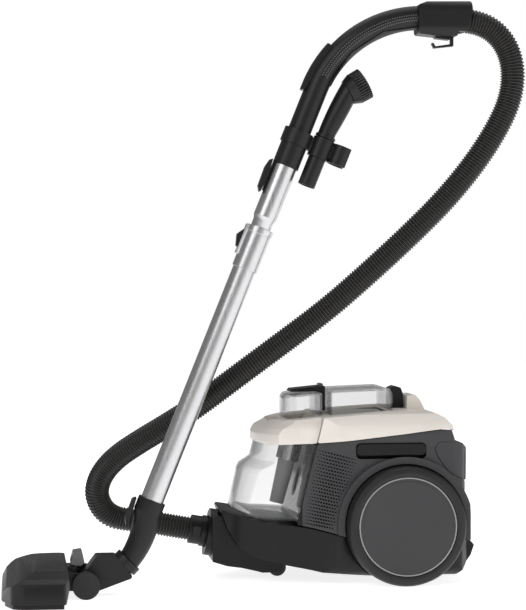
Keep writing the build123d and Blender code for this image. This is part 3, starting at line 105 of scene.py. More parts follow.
class Graph:
    """The node tree of one material, written through a few plain methods."""

    def __init__(self, name: str) -> None:
        """Start an empty node material.

        Args:
            name: The material's name.
        """
        self.material = bpy.data.materials.new(name)
        self.material.use_nodes = True
        self.tree = self.material.node_tree
        self.tree.nodes.clear()
        self.out = self.tree.nodes.new("ShaderNodeOutputMaterial")
        self.coords: Optional[bpy.types.Node] = None

    def node(self, kind: str, settings: Optional[dict] = None, **inputs: object) -> bpy.types.Node:
        """Add a node, set it up and fill its sockets.

        Args:
            kind: The node's type.
            settings: Attributes that are set before the sockets; "stops" fills a colour ramp.
            inputs: Values or links by socket name, with underscores for spaces.

        Returns:
            The new node.
        """
        made = self.tree.nodes.new(kind)
        for key, value in (settings or {}).items():
            if key == "stops":
                self._fill_ramp(made, value)
            else:
                setattr(made, key, value)
        for key, value in inputs.items():
            self.feed(made.inputs[key.replace("_", " ")], value)
        return made

    @staticmethod
    def _fill_ramp(node: bpy.types.Node, stops: Sequence[tuple[float, Sequence[float]]]) -> None:
        """Write a colour ramp's stops."""
        ramp = node.color_ramp
        while len(ramp.elements) < len(stops):
            ramp.elements.new(1.0)
        for element, (place, colour) in zip(ramp.elements, stops):
            element.position = place
            element.color = (*colour, 1.0) if len(colour) == 3 else tuple(colour)

    def feed(self, socket: bpy.types.NodeSocket, value: object) -> None:
        """Link a value into a socket, or set the socket to a number or colour."""
        if isinstance(value, Value):
            self.tree.links.new(value.socket, socket)
        elif isinstance(value, (tuple, list)) and socket.type == "RGBA" and len(value) == 3:
            socket.default_value = (*value, 1.0)
        else:
            socket.default_value = value

    def math(self, operation: str, first: Operand, second: Operand = 0.0) -> Value:
        """A Math node on two values."""
        made = self.tree.nodes.new("ShaderNodeMath")
        made.operation = operation
        self.feed(made.inputs[0], first)
        self.feed(made.inputs[1], second)
        return Value(self, made.outputs[0])

    def objectspace(self, scale: Sequence[float] = (1, 1, 1), turn: Sequence[float] = (0, 0, 0)) -> Value:
        """Object coordinates, stretched by scale and turned in degrees."""
        if self.coords is None:
            self.coords = self.node("ShaderNodeTexCoord")
        angles = [math.radians(angle) for angle in turn]
        mapping = self.node("ShaderNodeMapping", None, Vector=Value(self, self.coords.outputs["Object"]))
        mapping.inputs["Rotation"].default_value = angles
        mapping.inputs["Scale"].default_value = scale
        return Value(self, mapping.outputs[0])

    def noise(self, where: Value, scale: float, detail: float = 3.0, rough: float = 0.55) -> Value:
        """A noise value from 0 to 1."""
        made = self.node("ShaderNodeTexNoise", None,
                         Vector=where, Scale=scale, Detail=detail, Roughness=rough)
        return Value(self, made.outputs[0])

    def ramp(self, value: Value, stops: Sequence[tuple[float, Sequence[float]]]) -> Value:
        """A colour ramp on a value."""
        made = self.node("ShaderNodeValToRGB", {"stops": stops}, Fac=value)
        return Value(self, made.outputs[0])

    def mix(self, share: Operand, first: object, second: object) -> Value:
        """A colour between two colours."""
        made = self.tree.nodes.new("ShaderNodeMix")
        made.data_type = "RGBA"
        self.feed(made.inputs[0], share)
        self.feed(made.inputs[6], first)
        self.feed(made.inputs[7], second)
        return Value(self, made.outputs[2])

    def bump(self, height: Value, strength: float, distance: float) -> Value:
        """A Bump node's normal."""
        made = self.node("ShaderNodeBump", None, Height=height, Strength=strength, Distance=distance)
        return Value(self, made.outputs[0])

    def surface(self, fixed: dict, **varying: Value) -> bpy.types.Material:
        """Close the material with a Principled shader.

        Args:
            fixed: Numbers and colours set on the shader's own sockets.
            varying: Linked values by socket name, with underscores for spaces.

        Returns:
            The finished material.
        """
        shader = self.node("ShaderNodeBsdfPrincipled", None, **varying)
        for key, value in fixed.items():
            self.feed(shader.inputs[key], value)
        self.tree.links.new(shader.outputs[0], self.out.inputs["Surface"])
        return self.material


# ---------------------------------------------------------------- finishes
@dataclass(frozen=True)
class MouldedPlastic:
    """Injection-moulded plastic with a spark-eroded grain and slight shade changes."""

    name: str
    colour: Colour
    roughness: float = 0.45
    grain: float = 900.0
    depth: float = 0.00006
    shade: float = 0.06
    coat: float = 0.0
    gloss: float = 0.3

    def material(self) -> bpy.types.Material:
        """Build the node material."""
        graph = Graph(self.name)
        where = graph.objectspace()
        broad = graph.noise(where, 9.0, 4.0)
        fine = graph.noise(where, self.grain, 2.0)
        scuff = graph.noise(graph.objectspace((1.0, 1.0, 5.0)), 55.0, 5.0, 0.7)
        dark = tuple(channel * (1.0 - self.shade) for channel in self.colour)
        light = tuple(min(1.0, channel * (1.0 + self.shade) + 0.002) for channel in self.colour)
        colour = graph.ramp(broad * 0.7 + scuff * 0.3, [(0.35, dark), (0.65, light)])
        rough = (scuff - 0.5) * 0.14 + (fine - 0.5) * 0.06 + self.roughness
        normal = graph.bump(fine, 0.35, self.depth)
        fixed = {"Coat Weight": self.coat, "Coat Roughness": 0.18, "Specular IOR Level": self.gloss}
        return graph.surface(fixed, Base_Color=colour, Roughness=rough, Normal=normal)


@dataclass(frozen=True)
class SatinTube:
    """Anodised aluminium tube, drawn along its length."""

    name: str
    colour: Colour = (0.62, 0.62, 0.63)
    roughness: float = 0.3
    lean: float = 21.9

    def material(self) -> bpy.types.Material:
        """Build the node material, with fine draw lines along the tube."""
        graph = Graph(self.name)
        along = graph.objectspace((420.0, 420.0, 5.0), (0.0, -self.lean, 0.0))
        lines = graph.noise(along, 1.0, 3.0, 0.6)
        cloud = graph.noise(graph.objectspace(), 14.0, 3.0)
        dark = tuple(channel * 0.9 for channel in self.colour)
        light = tuple(min(1.0, channel * 1.08) for channel in self.colour)
        colour = graph.ramp(lines * 0.6 + cloud * 0.4, [(0.3, dark), (0.7, light)])
        rough = (lines - 0.5) * 0.16 + self.roughness
        normal = graph.bump(lines, 0.25, 0.00005)
        return graph.surface({"Metallic": 1.0}, Base_Color=colour, Roughness=rough, Normal=normal)


@dataclass(frozen=True)
class ClearPlastic:
    """Clear smoke-tinted polycarbonate: see-through face on, denser towards its edges."""

    name: str
    tint: Colour = (0.20, 0.205, 0.21)
    veil: float = 0.085
    edge: float = 0.86

    def material(self) -> bpy.types.Material:
        """Build the node material."""
        graph = Graph(self.name)
        facing = graph.node("ShaderNodeLayerWeight", None, Blend=0.42)
        rim = Value(graph, facing.outputs["Facing"])
        haze = graph.noise(graph.objectspace(), 18.0, 4.0)
        edge_tint = tuple(channel * 0.22 for channel in self.tint)
        colour = graph.mix(rim ** 2.0, self.tint, edge_tint)
        alpha = rim ** 2.6 * self.edge + haze * 0.012 + self.veil
        rough = haze * 0.06 + 0.04
        fixed = {"IOR": 1.5, "Coat Weight": 0.3}
        return graph.surface(fixed, Base_Color=colour, Roughness=rough, Alpha=alpha)


@dataclass(frozen=True)
class Rubber:
    """Soft rubber with a dull bloom."""

    name: str
    colour: Colour = (0.016, 0.016, 0.017)
    roughness: float = 0.6
    bloom: Colour = (0.035, 0.034, 0.033)

    def material(self) -> bpy.types.Material:
        """Build the node material."""
        graph = Graph(self.name)
        where = graph.objectspace()
        cloud = graph.noise(where, 38.0, 5.0, 0.65)
        fine = graph.noise(where, 1400.0, 2.0)
        colour = graph.ramp(cloud, [(0.4, self.colour), (0.75, self.bloom)])
        rough = (cloud - 0.5) * 0.2 + self.roughness
        return graph.surface({}, Base_Color=colour, Roughness=rough, Normal=graph.bump(fine, 0.4, 0.00008))


@dataclass(frozen=True)
class WovenMedia:
    """Pleated or woven filter cloth."""

    name: str
    colour: Colour = (0.78, 0.78, 0.75)
    thread: float = 1500.0

    def material(self) -> bpy.types.Material:
        """Build the node material."""
        graph = Graph(self.name)
        where = graph.objectspace((self.thread, self.thread, self.thread))
        weave = graph.node("ShaderNodeTexWave", {"bands_direction": "DIAGONAL"}, Vector=where, Scale=1.0)
        thread = Value(graph, weave.outputs["Fac"])
        cloud = graph.noise(graph.objectspace(), 60.0)
        dark = tuple(channel * 0.78 for channel in self.colour)
        colour = graph.mix(thread * 0.5 + cloud * 0.5, dark, self.colour)
        rough = cloud * 0.1 + 0.8
        return graph.surface({}, Base_Color=colour, Roughness=rough, Normal=graph.bump(thread, 0.4, 0.0001))


@dataclass(frozen=True)
class HoseSkin:
    """Ribbed hose wall: black, with a painted brown-grey highlight along its crests."""

    name: str
    valley: Colour = (0.0015, 0.0015, 0.0015)
    # crest: painted highlight colour, standing in for the light along the rib tops
    crest: Colour = (0.030, 0.027, 0.024)

    def material(self) -> bpy.types.Material:
        """Build the node material on the skin's own rib attribute."""
        graph = Graph(self.name)
        rib = graph.node("ShaderNodeAttribute", {"attribute_name": "rib"})
        height = Value(graph, rib.outputs["Fac"]) * 0.5 + 0.5
        highlight_and_wear = graph.noise(graph.objectspace(), 70.0, 5.0, 0.65)
        fine = graph.noise(graph.objectspace(), 1600.0, 2.0)
        # painted highlight: the rib tops are lifted towards the crest colour, varied by noise
        colour = graph.mix(height ** 2.2 * (highlight_and_wear * 0.5 + 0.7), self.valley, self.crest)
        rough = (highlight_and_wear - 0.5) * 0.2 + 0.42
        return graph.surface({}, Base_Color=colour, Roughness=rough, Normal=graph.bump(fine, 0.3, 0.00006))


class Palette:
    """Every finish of the machine, made once and shared."""

    def __init__(self) -> None:
        """Build the materials."""
        self.cream = MouldedPlastic("cream_gloss",
                                    (0.84, 0.785, 0.72), 0.33, 700.0, 0.00003, 0.02, 0.25, 0.5).material()
        self.charcoal = MouldedPlastic("charcoal_grain",
                                       (0.052, 0.052, 0.055), 0.5, 900.0, 0.00008).material()
        self.black = MouldedPlastic("black_satin",
                                    (0.0048, 0.0048, 0.0053), 0.42, 800.0, 0.00006, 0.1).material()
        self.mid_grey = MouldedPlastic("mid_grey", (0.15, 0.15, 0.153), 0.42, 800.0, 0.00005).material()
        self.light_grey = MouldedPlastic("light_grey", (0.36, 0.36, 0.365), 0.4, 800.0, 0.00004).material()
        self.disc = MouldedPlastic("wheel_disc",
                                   (0.048, 0.048, 0.0505), 0.36, 1000.0, 0.00003, 0.05).material()
        # a light grey laid on the grip dots as a painted highlight, standing in for the light that catches
        # their rims
        self.dot_highlight_grey = MouldedPlastic("dot_painted_highlight", (0.105, 0.105, 0.108), 0.4, 900.0, 0.00004).material()
        self.wand_plastic = MouldedPlastic("wand_charcoal",
                                           (0.0105, 0.0105, 0.0115), 0.38, 900.0, 0.00005, 0.08).material()
        self.board = MouldedPlastic("circuit_board", (0.03, 0.16, 0.06), 0.35, 500.0, 0.00004, 0.2).material()
        self.tube = SatinTube("satin_tube").material()
        self.steel = SatinTube("plain_steel", (0.5, 0.5, 0.52), 0.28, 0.0).material()
        self.clear = ClearPlastic("clear_smoke").material()
        self.rubber = Rubber("black_rubber", (0.0045, 0.0045, 0.0047), 0.5, (0.012, 0.012, 0.012)).material()
        self.grip = Rubber("soft_grip", (0.012, 0.012, 0.013), 0.55, (0.022, 0.022, 0.022)).material()
        self.hose = HoseSkin("hose_skin").material()
        # The bead's light grey is a painted highlight: it stands in for the bright ring of light along the
        # wheel's rim.
        self.rim = MouldedPlastic("bead_painted_highlight",
                                  (0.30, 0.30, 0.305), 0.22, 1200.0, 0.00002, 0.04, 0.6).material()
        self.media = WovenMedia("filter_media").material()
        self.bristle = Rubber("bristle_black", (0.01, 0.01, 0.01), 0.5, (0.04, 0.04, 0.04)).material()


# ---------------------------------------------------------------- mesh helpers
class Shading(Enum):
    """How a mesh's faces are smoothed."""

    CRISP = 28.0
    SOFT = 46.0
    ROUND = 180.0


def new_piece(name: str, mesh: bpy.types.Mesh, material: bpy.types.Material) -> bpy.types.Object:
    """Make an object at the origin from a mesh and give it one material.

    Args:
        name: The piece's name.
        mesh: Its mesh, already in its place.
        material: Its finish.

    Returns:
        The new object.
    """
    mesh.materials.clear()
    mesh.materials.append(material)
    made = bpy.data.objects.new(name, mesh)
    bpy.context.scene.collection.objects.link(made)
    return made


def smooth(mesh: bpy.types.Mesh, shading: Shading = Shading.CRISP) -> None:
    """Shade a mesh smooth, with creases kept sharp above the shading's angle."""
    mesh.polygons.foreach_set("use_smooth", [True] * len(mesh.polygons))
    mesh.set_sharp_from_angle(angle=math.radians(shading.value))


def to_mesh(name: str, build: bmesh.types.BMesh, shading: Shading = Shading.CRISP) -> bpy.types.Mesh:
    """Close a bmesh into a named, shaded mesh."""
    mesh = bpy.data.meshes.new(name)
    bmesh.ops.recalc_face_normals(build, faces=build.faces)
    build.to_mesh(mesh)
    build.free()
    smooth(mesh, shading)
    return mesh


def add_bevel(piece: bpy.types.Object, width: float, segments: int = 2, angle: float = 32.0) -> None:
    """Round a piece's sharp edges a little."""
    bevel = piece.modifiers.new("edge_round", "BEVEL")
    bevel.width = width
    bevel.segments = segments
    bevel.limit_method = "ANGLE"
    bevel.angle_limit = math.radians(angle)
    bevel.use_clamp_overlap = True
    bevel.harden_normals = True


def cleaned_copy(node: str, name: str, shading: Shading = Shading.CRISP) -> bpy.types.Mesh:
    """A joined-up copy of a CAD node's mesh, with its flat facets merged."""
    source = bpy.data.objects[node].data
    build = bmesh.new()
    build.from_mesh(source)
    bmesh.ops.remove_doubles(build, verts=build.verts, dist=1e-6)
    bmesh.ops.dissolve_limit(build, angle_limit=math.radians(0.6), verts=build.verts, edges=build.edges)
    mesh = bpy.data.meshes.new(name)
    build.to_mesh(mesh)
    build.free()
    smooth(mesh, shading)
    return mesh


def body_of(node: str) -> str:
    """The body that a CAD node rides on."""
    return bpy.data.objects[node]["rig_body"]


def settle(piece: bpy.types.Object, body: str, slot: str, *nodes: str) -> bpy.types.Object:
    """Make a finished piece ride on a body and stand for CAD nodes.

    Args:
        piece: The finished object.
        body: The CAD body it moves with.
        slot: The record's material slot; not used.
        nodes: The CAD nodes it stands for, if any.

    Returns:
        The same piece.
    """
    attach(piece, body)
    if nodes:
        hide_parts(*nodes)
    LOG.info("%s rides on %s", piece.name, body)
    return piece


@dataclass
class RefinedPart:
    """A CAD part with its edges rounded and a real finish."""

    node: str
    finish: bpy.types.Material
    slot: str
    edge: float = 0.0006
    segments: int = 2
    shading: Shading = Shading.CRISP

    def build(self) -> bpy.types.Object:
        """Copy the part, round its edges and put it on its body."""
        mesh = cleaned_copy(self.node, self.node + "_mesh", self.shading)
        piece = new_piece(self.node + "_finished", mesh, self.finish)
        if self.edge > 0.0:
            add_bevel(piece, self.edge, self.segments)
        return settle(piece, body_of(self.node), self.slot, self.node)


# ---------------------------------------------------------------- geometry nodes
class GeoTree:
    """A Geometry Nodes tree with named number inputs, run once on a seed mesh."""

    def __init__(self, name: str, inputs: dict[str, float]) -> None:
        """Start the tree.

        Args:
            name: The tree's name.
            inputs: The named size inputs and their values.
        """
        self.tree = bpy.data.node_groups.new(name, "GeometryNodeTree")
        self.tree.interface.new_socket("Geometry", in_out="INPUT", socket_type="NodeSocketGeometry")
        self.tree.interface.new_socket("Geometry", in_out="OUTPUT", socket_type="NodeSocketGeometry")
        self.keys: dict[str, str] = {}
        for key in inputs:
            made = self.tree.interface.new_socket(key, in_out="INPUT", socket_type="NodeSocketFloat")
            self.keys[key] = made.identifier
        self.values = inputs
        self.entry = self.tree.nodes.new("NodeGroupInput")
        self.exit = self.tree.nodes.new("NodeGroupOutput")

    def size(self, name: str) -> bpy.types.NodeSocket:
        """The socket of a named input."""
        return self.entry.outputs[name]

    def node(self, kind: str, settings: Optional[dict] = None,
             inputs: Optional[dict] = None) -> bpy.types.Node:
        """Add a node.

        Args:
            kind: The node's type.
            settings: Attributes set before its sockets.
            inputs: Values or sockets by input name or number.

        Returns:
            The new node.
        """
        made = self.tree.nodes.new(kind)
        for key, value in (settings or {}).items():
            setattr(made, key, value)
        for key, value in (inputs or {}).items():
            if isinstance(value, bpy.types.Node):
                value = value.outputs[0]
            if isinstance(value, bpy.types.NodeSocket):
                self.tree.links.new(value, made.inputs[key])
            else:
                made.inputs[key].default_value = value
        return made

    def math(self, operation: str, first: object, second: object = 0.0) -> bpy.types.Node:
        """A Math node on two values."""
        return self.node("ShaderNodeMath", {"operation": operation}, {0: first, 1: second})

    def run(self, name: str, seed: bpy.types.Mesh, result: object, finish: bpy.types.Material,
            edge: float = 0.0) -> bpy.types.Mesh:
        """Close the tree, evaluate it on the seed mesh and return the plain result.

        Args:
            name: The resulting mesh's name.
            seed: The mesh that the modifier stands on.
            result: The node whose geometry is the result.
            finish: The material that the tree sets.
            edge: How far the seed's own edges are rounded first.

        Returns:
            A mesh of its own, with nothing live on it.
        """
        whole = self.node("GeometryNodeRealizeInstances", None, {0: result})
        dressed = self.node("GeometryNodeSetMaterial", None, {"Geometry": whole, "Material": finish})
        self.tree.links.new(dressed.outputs[0], self.exit.inputs[0])
        holder = bpy.data.objects.new(name + "_seed", seed)
        bpy.context.scene.collection.objects.link(holder)
        if edge > 0.0:
            add_bevel(holder, edge)
        modifier = holder.modifiers.new("repeat", "NODES")
        modifier.node_group = self.tree
        for key, value in self.values.items():
            modifier[self.keys[key]] = float(value)
        graph = bpy.context.evaluated_depsgraph_get()
        mesh = bpy.data.meshes.new_from_object(holder.evaluated_get(graph))
        holder.modifiers.clear()
        bpy.data.objects.remove(holder)
        mesh.name = name
        return mesh


def lathe(build: bmesh.types.BMesh, profile: Sequence[tuple[float, float]], centre: Point, axis: Point,
          segments: int = 96) -> None:
    """Turn a closed profile about an axis into a bmesh.

    Args:
        build: The bmesh that the form is added to.
        profile: Radius and place along the axis of each corner, in order round the section.
        centre: The point of the axis that the places are counted from.
        axis: The axis's direction.
        segments: How many faces go round.
    """
    along = Vector(axis).normalized()
    side = along.orthogonal().normalized()
    across = along.cross(side)
    rings = []
    for radius, place in profile:
        if radius < 1e-7:
            rings.append([build.verts.new(Vector(centre) + along * place)])
            continue
        ring = []
        for step in range(segments):
            angle = math.tau * step / segments
            out = side * math.cos(angle) + across * math.sin(angle)
            ring.append(build.verts.new(Vector(centre) + along * place + out * radius))
        rings.append(ring)
    closed = profile[0][0] > 1e-7 or profile[-1][0] > 1e-7
    count = len(rings) if closed else len(rings) - 1
    for index in range(count):
        first, second = rings[index], rings[(index + 1) % len(rings)]
        for step in range(segments):
            following = (step + 1) % segments
            corners = [first[step % len(first)], first[following % len(first)],
                       second[following % len(second)], second[step % len(second)]]
            corners = list(dict.fromkeys(corners))
            if len(corners) > 2:
                build.faces.new(corners)


def points_mesh(name: str, places: Sequence[Vector], facing: Sequence[Vector],
                sizes: Sequence[float]) -> bpy.types.Mesh:
    """A mesh of loose points with a facing and a size at each.

    Args:
        name: The mesh's name.
        places: Where the points are.
        facing: The direction that each one's copy faces.
        sizes: The scale of each one's copy.

    Returns:
        The mesh, with its "facing" and "size" attributes.
    """
    mesh = bpy.data.meshes.new(name)
    mesh.from_pydata([tuple(place) for place in places], [], [])
    mesh.attributes.new("facing", "FLOAT_VECTOR", "POINT")
    mesh.attributes.new("size", "FLOAT", "POINT")
    mesh.attributes["facing"].data.foreach_set("vector", [part for way in facing for part in way])
    mesh.attributes["size"].data.foreach_set("value", list(sizes))
    return mesh


def tree_of(nodes: Sequence[str]) -> BVHTree:
    """A search tree over the surfaces of some CAD nodes."""
    build = bmesh.new()
    for node in nodes:
        build.from_mesh(bpy.data.objects[node].data)
    found = BVHTree.FromBMesh(build)
    build.free()
    return found


def copies_on_points(tree: GeoTree, points: object, shape: bpy.types.Node) -> bpy.types.Node:
    """Stand a copy of a shape on each point, facing the point's way and at its size."""
    way = tree.node("GeometryNodeInputNamedAttribute", {"data_type": "FLOAT_VECTOR"}, {"Name": "facing"})
    size = tree.node("GeometryNodeInputNamedAttribute", {"data_type": "FLOAT"}, {"Name": "size"})
    turn = tree.node("FunctionNodeAlignRotationToVector", {"axis": "Z"}, {"Vector": way})
    cloud = tree.node("GeometryNodeMeshToPoints", None, {"Mesh": points})
    return tree.node("GeometryNodeInstanceOnPoints", None,
                     {"Points": cloud, "Instance": shape, "Rotation": turn, "Scale": size})


# ---------------------------------------------------------------- studio
@dataclass
class Studio:
    """The camera, the pale floor and the soft lights."""

    azimuth: float = -7.0
    elevation: float = 1.0
    distance: float = 3.2
    target: Point = (0.034, 0.0, 0.429)
    lens: float = 122.63
    floor_half: float = 7.0
    surround: float = 0.24
    floor_glow: float = 0.82

    def build(self) -> None:
        """Set up the whole studio."""
        self._camera()
        self._world()
        self._floor()
        self._light("key_softbox", (-1.9, -2.6, 2.6), 2.4, 43.0)
        self._light("fill_softbox", (2.8, -2.2, 1.5), 2.6, 23.0)
        self._light("top_softbox", (0.3, 0.6, 3.2), 2.8, 27.0)

    def _camera(self) -> None:
        """Stand the camera where the picture is taken from."""
        azimuth = math.radians(self.azimuth)
        elevation = math.radians(self.elevation)
        back = Vector((math.sin(azimuth) * math.cos(elevation),
                       -math.cos(azimuth) * math.cos(elevation),
                       math.sin(elevation)))
        data = bpy.data.cameras.new("camera")
        data.lens = self.lens
        data.sensor_width = 36.0
        camera = bpy.data.objects.new("camera", data)
        camera.rotation_mode = "QUATERNION"
        camera.location = Vector(self.target) + back * self.distance
        camera.rotation_quaternion = (-back).to_track_quat("-Z", "Y")
        bpy.context.scene.collection.objects.link(camera)
        bpy.context.scene.camera = camera

    def _world(self) -> None:
        """A plain white surround that lights the machine only softly."""
        world = bpy.data.worlds.new("surround")
        world.use_nodes = True
        tree = world.node_tree
        backdrop = tree.nodes["Background"]
        backdrop.inputs[0].default_value = (1.0, 1.0, 1.0, 1.0)
        seen = tree.nodes.new("ShaderNodeLightPath")
        strength = tree.nodes.new("ShaderNodeMapRange")
        strength.inputs["To Min"].default_value = self.surround
        strength.inputs["To Max"].default_value = 1.0
        tree.links.new(seen.outputs["Is Camera Ray"], strength.inputs["Value"])
        tree.links.new(strength.outputs[0], backdrop.inputs[1])
        bpy.context.scene.world = world

    def _floor(self) -> None:
        """A plain pale floor."""
        build = bmesh.new()
        bmesh.ops.create_grid(build, x_segments=8, y_segments=8, size=self.floor_half)
        mesh = bpy.data.meshes.new("floor")
        build.to_mesh(mesh)
        build.free()
        graph = Graph("floor_pale")
        cloud = graph.noise(graph.objectspace(), 0.8)
        shade = graph.ramp(cloud, [(0.3, (0.90, 0.90, 0.90)), (0.7, (0.92, 0.92, 0.92))])
        glow = {"Emission Color": (1.0, 1.0, 1.0), "Emission Strength": self.floor_glow,
                "Specular IOR Level": 0.1}
        floor = new_piece("floor", mesh, graph.surface(glow, Base_Color=shade, Roughness=cloud * 0.1 + 0.7))

    @staticmethod
    def _light(name: str, place: Point, size: float, power: float) -> None:
        """One square soft light that faces the machine."""
        data = bpy.data.lights.new(name, "AREA")
        data.shape = "SQUARE"
        data.size = size
        data.energy = power
        light = bpy.data.objects.new(name, data)
        light.location = place
        light.rotation_mode = "QUATERNION"
        light.rotation_quaternion = (Vector((0.05, 0.0, 0.4)) - Vector(place)).to_track_quat("-Z", "Y")
        bpy.context.scene.collection.objects.link(light)


# ---------------------------------------------------------------- hose
@dataclass
class Hose:
    """The ribbed suction hose, from the handle round to the front of the canister."""

    diameter: float = 0.038
    rib_pitch: float = 0.0046
    rib_depth: float = 0.0026
    sides: int = 26
    rings_per_rib: int = 6
    length: float = 1.248
    route: list[Point] = field(default_factory=lambda: [
        (0.3220, -0.0860, 0.8605), (0.3499, -0.0860, 0.8587), (0.3800, -0.0860, 0.8430),
        (0.4000, -0.0850, 0.8150), (0.4075, -0.0830, 0.7790), (0.4020, -0.0800, 0.7390),
        (0.3830, -0.0760, 0.6970), (0.3520, -0.0720, 0.6480), (0.3070, -0.0680, 0.5920),
        (0.2500, -0.0640, 0.5350), (0.1880, -0.0600, 0.4780), (0.1240, -0.0550, 0.4220),
        (0.0500, -0.0500, 0.3670), (-0.0160, -0.0450, 0.3180), (-0.0700, -0.0360, 0.2770),
        (-0.1160, -0.0180, 0.2460), (-0.1560, 0.0040, 0.2200), (-0.1900, 0.0270, 0.1950),
        (-0.2120, 0.0470, 0.1680), (-0.2210, 0.0610, 0.1390), (-0.2130, 0.0700, 0.1130),
        (-0.1960, 0.0745, 0.0970), (-0.1700, 0.0755, 0.0915), (-0.1380, 0.0745, 0.0885),
        (-0.1042, 0.0740, 0.0817), (-0.0736, 0.0740, 0.0765),
    ])

    def centre_line(self) -> bpy.types.Mesh:
        """The route's smooth line, as the spline itself gives it."""
        curve = bpy.data.curves.new("hose_route", "CURVE")
        curve.dimensions = "3D"
        curve.resolution_u = 20
        spline = curve.splines.new("NURBS")
        spline.points.add(len(self.route) - 1)
        for point, place in zip(spline.points, self.route):
            point.co = (*place, 1.0)
        spline.order_u = 3
        spline.use_endpoint_u = True
        holder = bpy.data.objects.new("hose_route", curve)
        bpy.context.scene.collection.objects.link(holder)
        graph = bpy.context.evaluated_depsgraph_get()
        line = bpy.data.meshes.new_from_object(holder.evaluated_get(graph))
        bpy.data.objects.remove(holder)
        return line

    def build(self, finish: bpy.types.Material) -> bpy.types.Object:
        """Sweep the ribbed skin along the centre line."""
        line = self.centre_line()
        sizes = {
            "Radius": self.diameter / 2 - self.rib_depth / 2,
            "Depth": self.rib_depth / self.diameter,
            "Pitch": self.rib_pitch,
            "Step": self.rib_pitch / self.rings_per_rib,
        }
        tree = GeoTree("hose_ribs", sizes)
        curve = tree.node("GeometryNodeMeshToCurve", None, {"Mesh": tree.entry.outputs["Geometry"]})
        even = tree.node("GeometryNodeResampleCurve", {"mode": "LENGTH"},
                         {"Curve": curve, "Length": tree.size("Step")})
        place = tree.node("GeometryNodeSplineParameter")
        turns = tree.math("DIVIDE", place.outputs["Length"], tree.size("Pitch"))
        wave = tree.math("COSINE", tree.math("MULTIPLY", turns, math.tau))
        swell = tree.math("MULTIPLY_ADD", wave, tree.size("Depth"))
        swell.inputs[2].default_value = 1.0
        crest = tree.node("GeometryNodeStoreNamedAttribute", {"data_type": "FLOAT", "domain": "POINT"},
                          {"Geometry": even, "Name": "rib", "Value": wave})
        ring = tree.node("GeometryNodeCurvePrimitiveCircle", None,
                         {"Resolution": self.sides, "Radius": tree.size("Radius")})
        skin = tree.node("GeometryNodeCurveToMesh", None,
                         {"Curve": crest, "Profile Curve": ring, "Scale": swell})
        mesh = tree.run("suction_hose_skin", line, skin, finish)
        smooth(mesh, Shading.ROUND)
        piece = new_piece("hose_skin", mesh, finish)
        settle(piece, "machine", "hose", "suction_hose")
        return piece


# ---------------------------------------------------------------- wheels
@dataclass
class RearWheel:
    """One large rear wheel: a stepped disc, a bead whose light grey paints the rim's bright highlight, and a
    tyre with tread lines.
    """

    side: str
    outward: float
    centre: Point = (0.248, 0.074, 0.092)
    face: float = 0.148
    disc: list[tuple[float, float]] = field(default_factory=lambda: [
        (0.0, 2.2), (24.0, 2.1), (50.0, 1.8), (68.5, 1.3), (69.6, 2.0), (72.6, 2.0), (73.0, 2.6), (75.9, 2.6),
        (75.9, 40.9), (72.1, 40.9), (72.1, 6.4), (13.0, 6.4), (13.0, 40.9),
        (7.1, 40.9), (7.1, 7.4), (0.0, 7.4)])
    bead: list[tuple[float, float]] = field(default_factory=lambda: [
        (73.2, 2.5), (73.4, 1.3), (74.2, 0.8), (75.2, 1.0), (75.8, 2.5)])
    tyre: list[tuple[float, float]] = field(default_factory=lambda: [
        (76.1, 2.4), (76.9, 1.0), (79.5, 0.2), (84.0, 0.3), (88.4, 2.0), (91.0, 5.4),
        (91.9, 10.0), (91.9, 13.0),
        (91.1, 13.4), (91.1, 14.2), (91.9, 14.6), (91.9, 20.0), (91.1, 20.4), (91.1, 21.2), (91.9, 21.6),
        (91.9, 27.0), (91.1, 27.4), (91.1, 28.2), (91.9, 28.6), (91.9, 33.0), (91.0, 37.6), (88.0, 40.4),
        (84.0, 40.9), (76.1, 40.9)])

    def _turned(self, name: str, profile: Sequence[tuple[float, float]], segments: int) -> bpy.types.Mesh:
        """Turn one profile about the wheel's axle."""
        build = bmesh.new()
        face = (self.centre[0], self.centre[1] + self.outward * self.face, self.centre[2])
        scaled = [(radius * MM, depth * MM) for radius, depth in profile]
        lathe(build, scaled, face, (0, -self.outward, 0), segments)
        return to_mesh(name, build, Shading.CRISP)

    def build(self, palette: Palette) -> None:
        """Build the disc, the bead and the tyre."""
        body = self.side + "_wheel"
        disc = new_piece("disc_" + self.side, self._turned("disc_" + self.side, self.disc, 144), palette.disc)
        settle(disc, body, "wheel", "rear_wheel_" + self.side)
        # painted highlight: the bead's light grey finish
        bead = new_piece("bead_" + self.side, self._turned("bead_" + self.side, self.bead, 144), palette.rim)
        settle(bead, body, "wheel")
        tread = self._turned("tread_" + self.side, self.tyre, 160)
        tyre = new_piece("tread_" + self.side, tread, palette.rubber)
        settle(tyre, body, "tyre", "tyre_" + self.side)


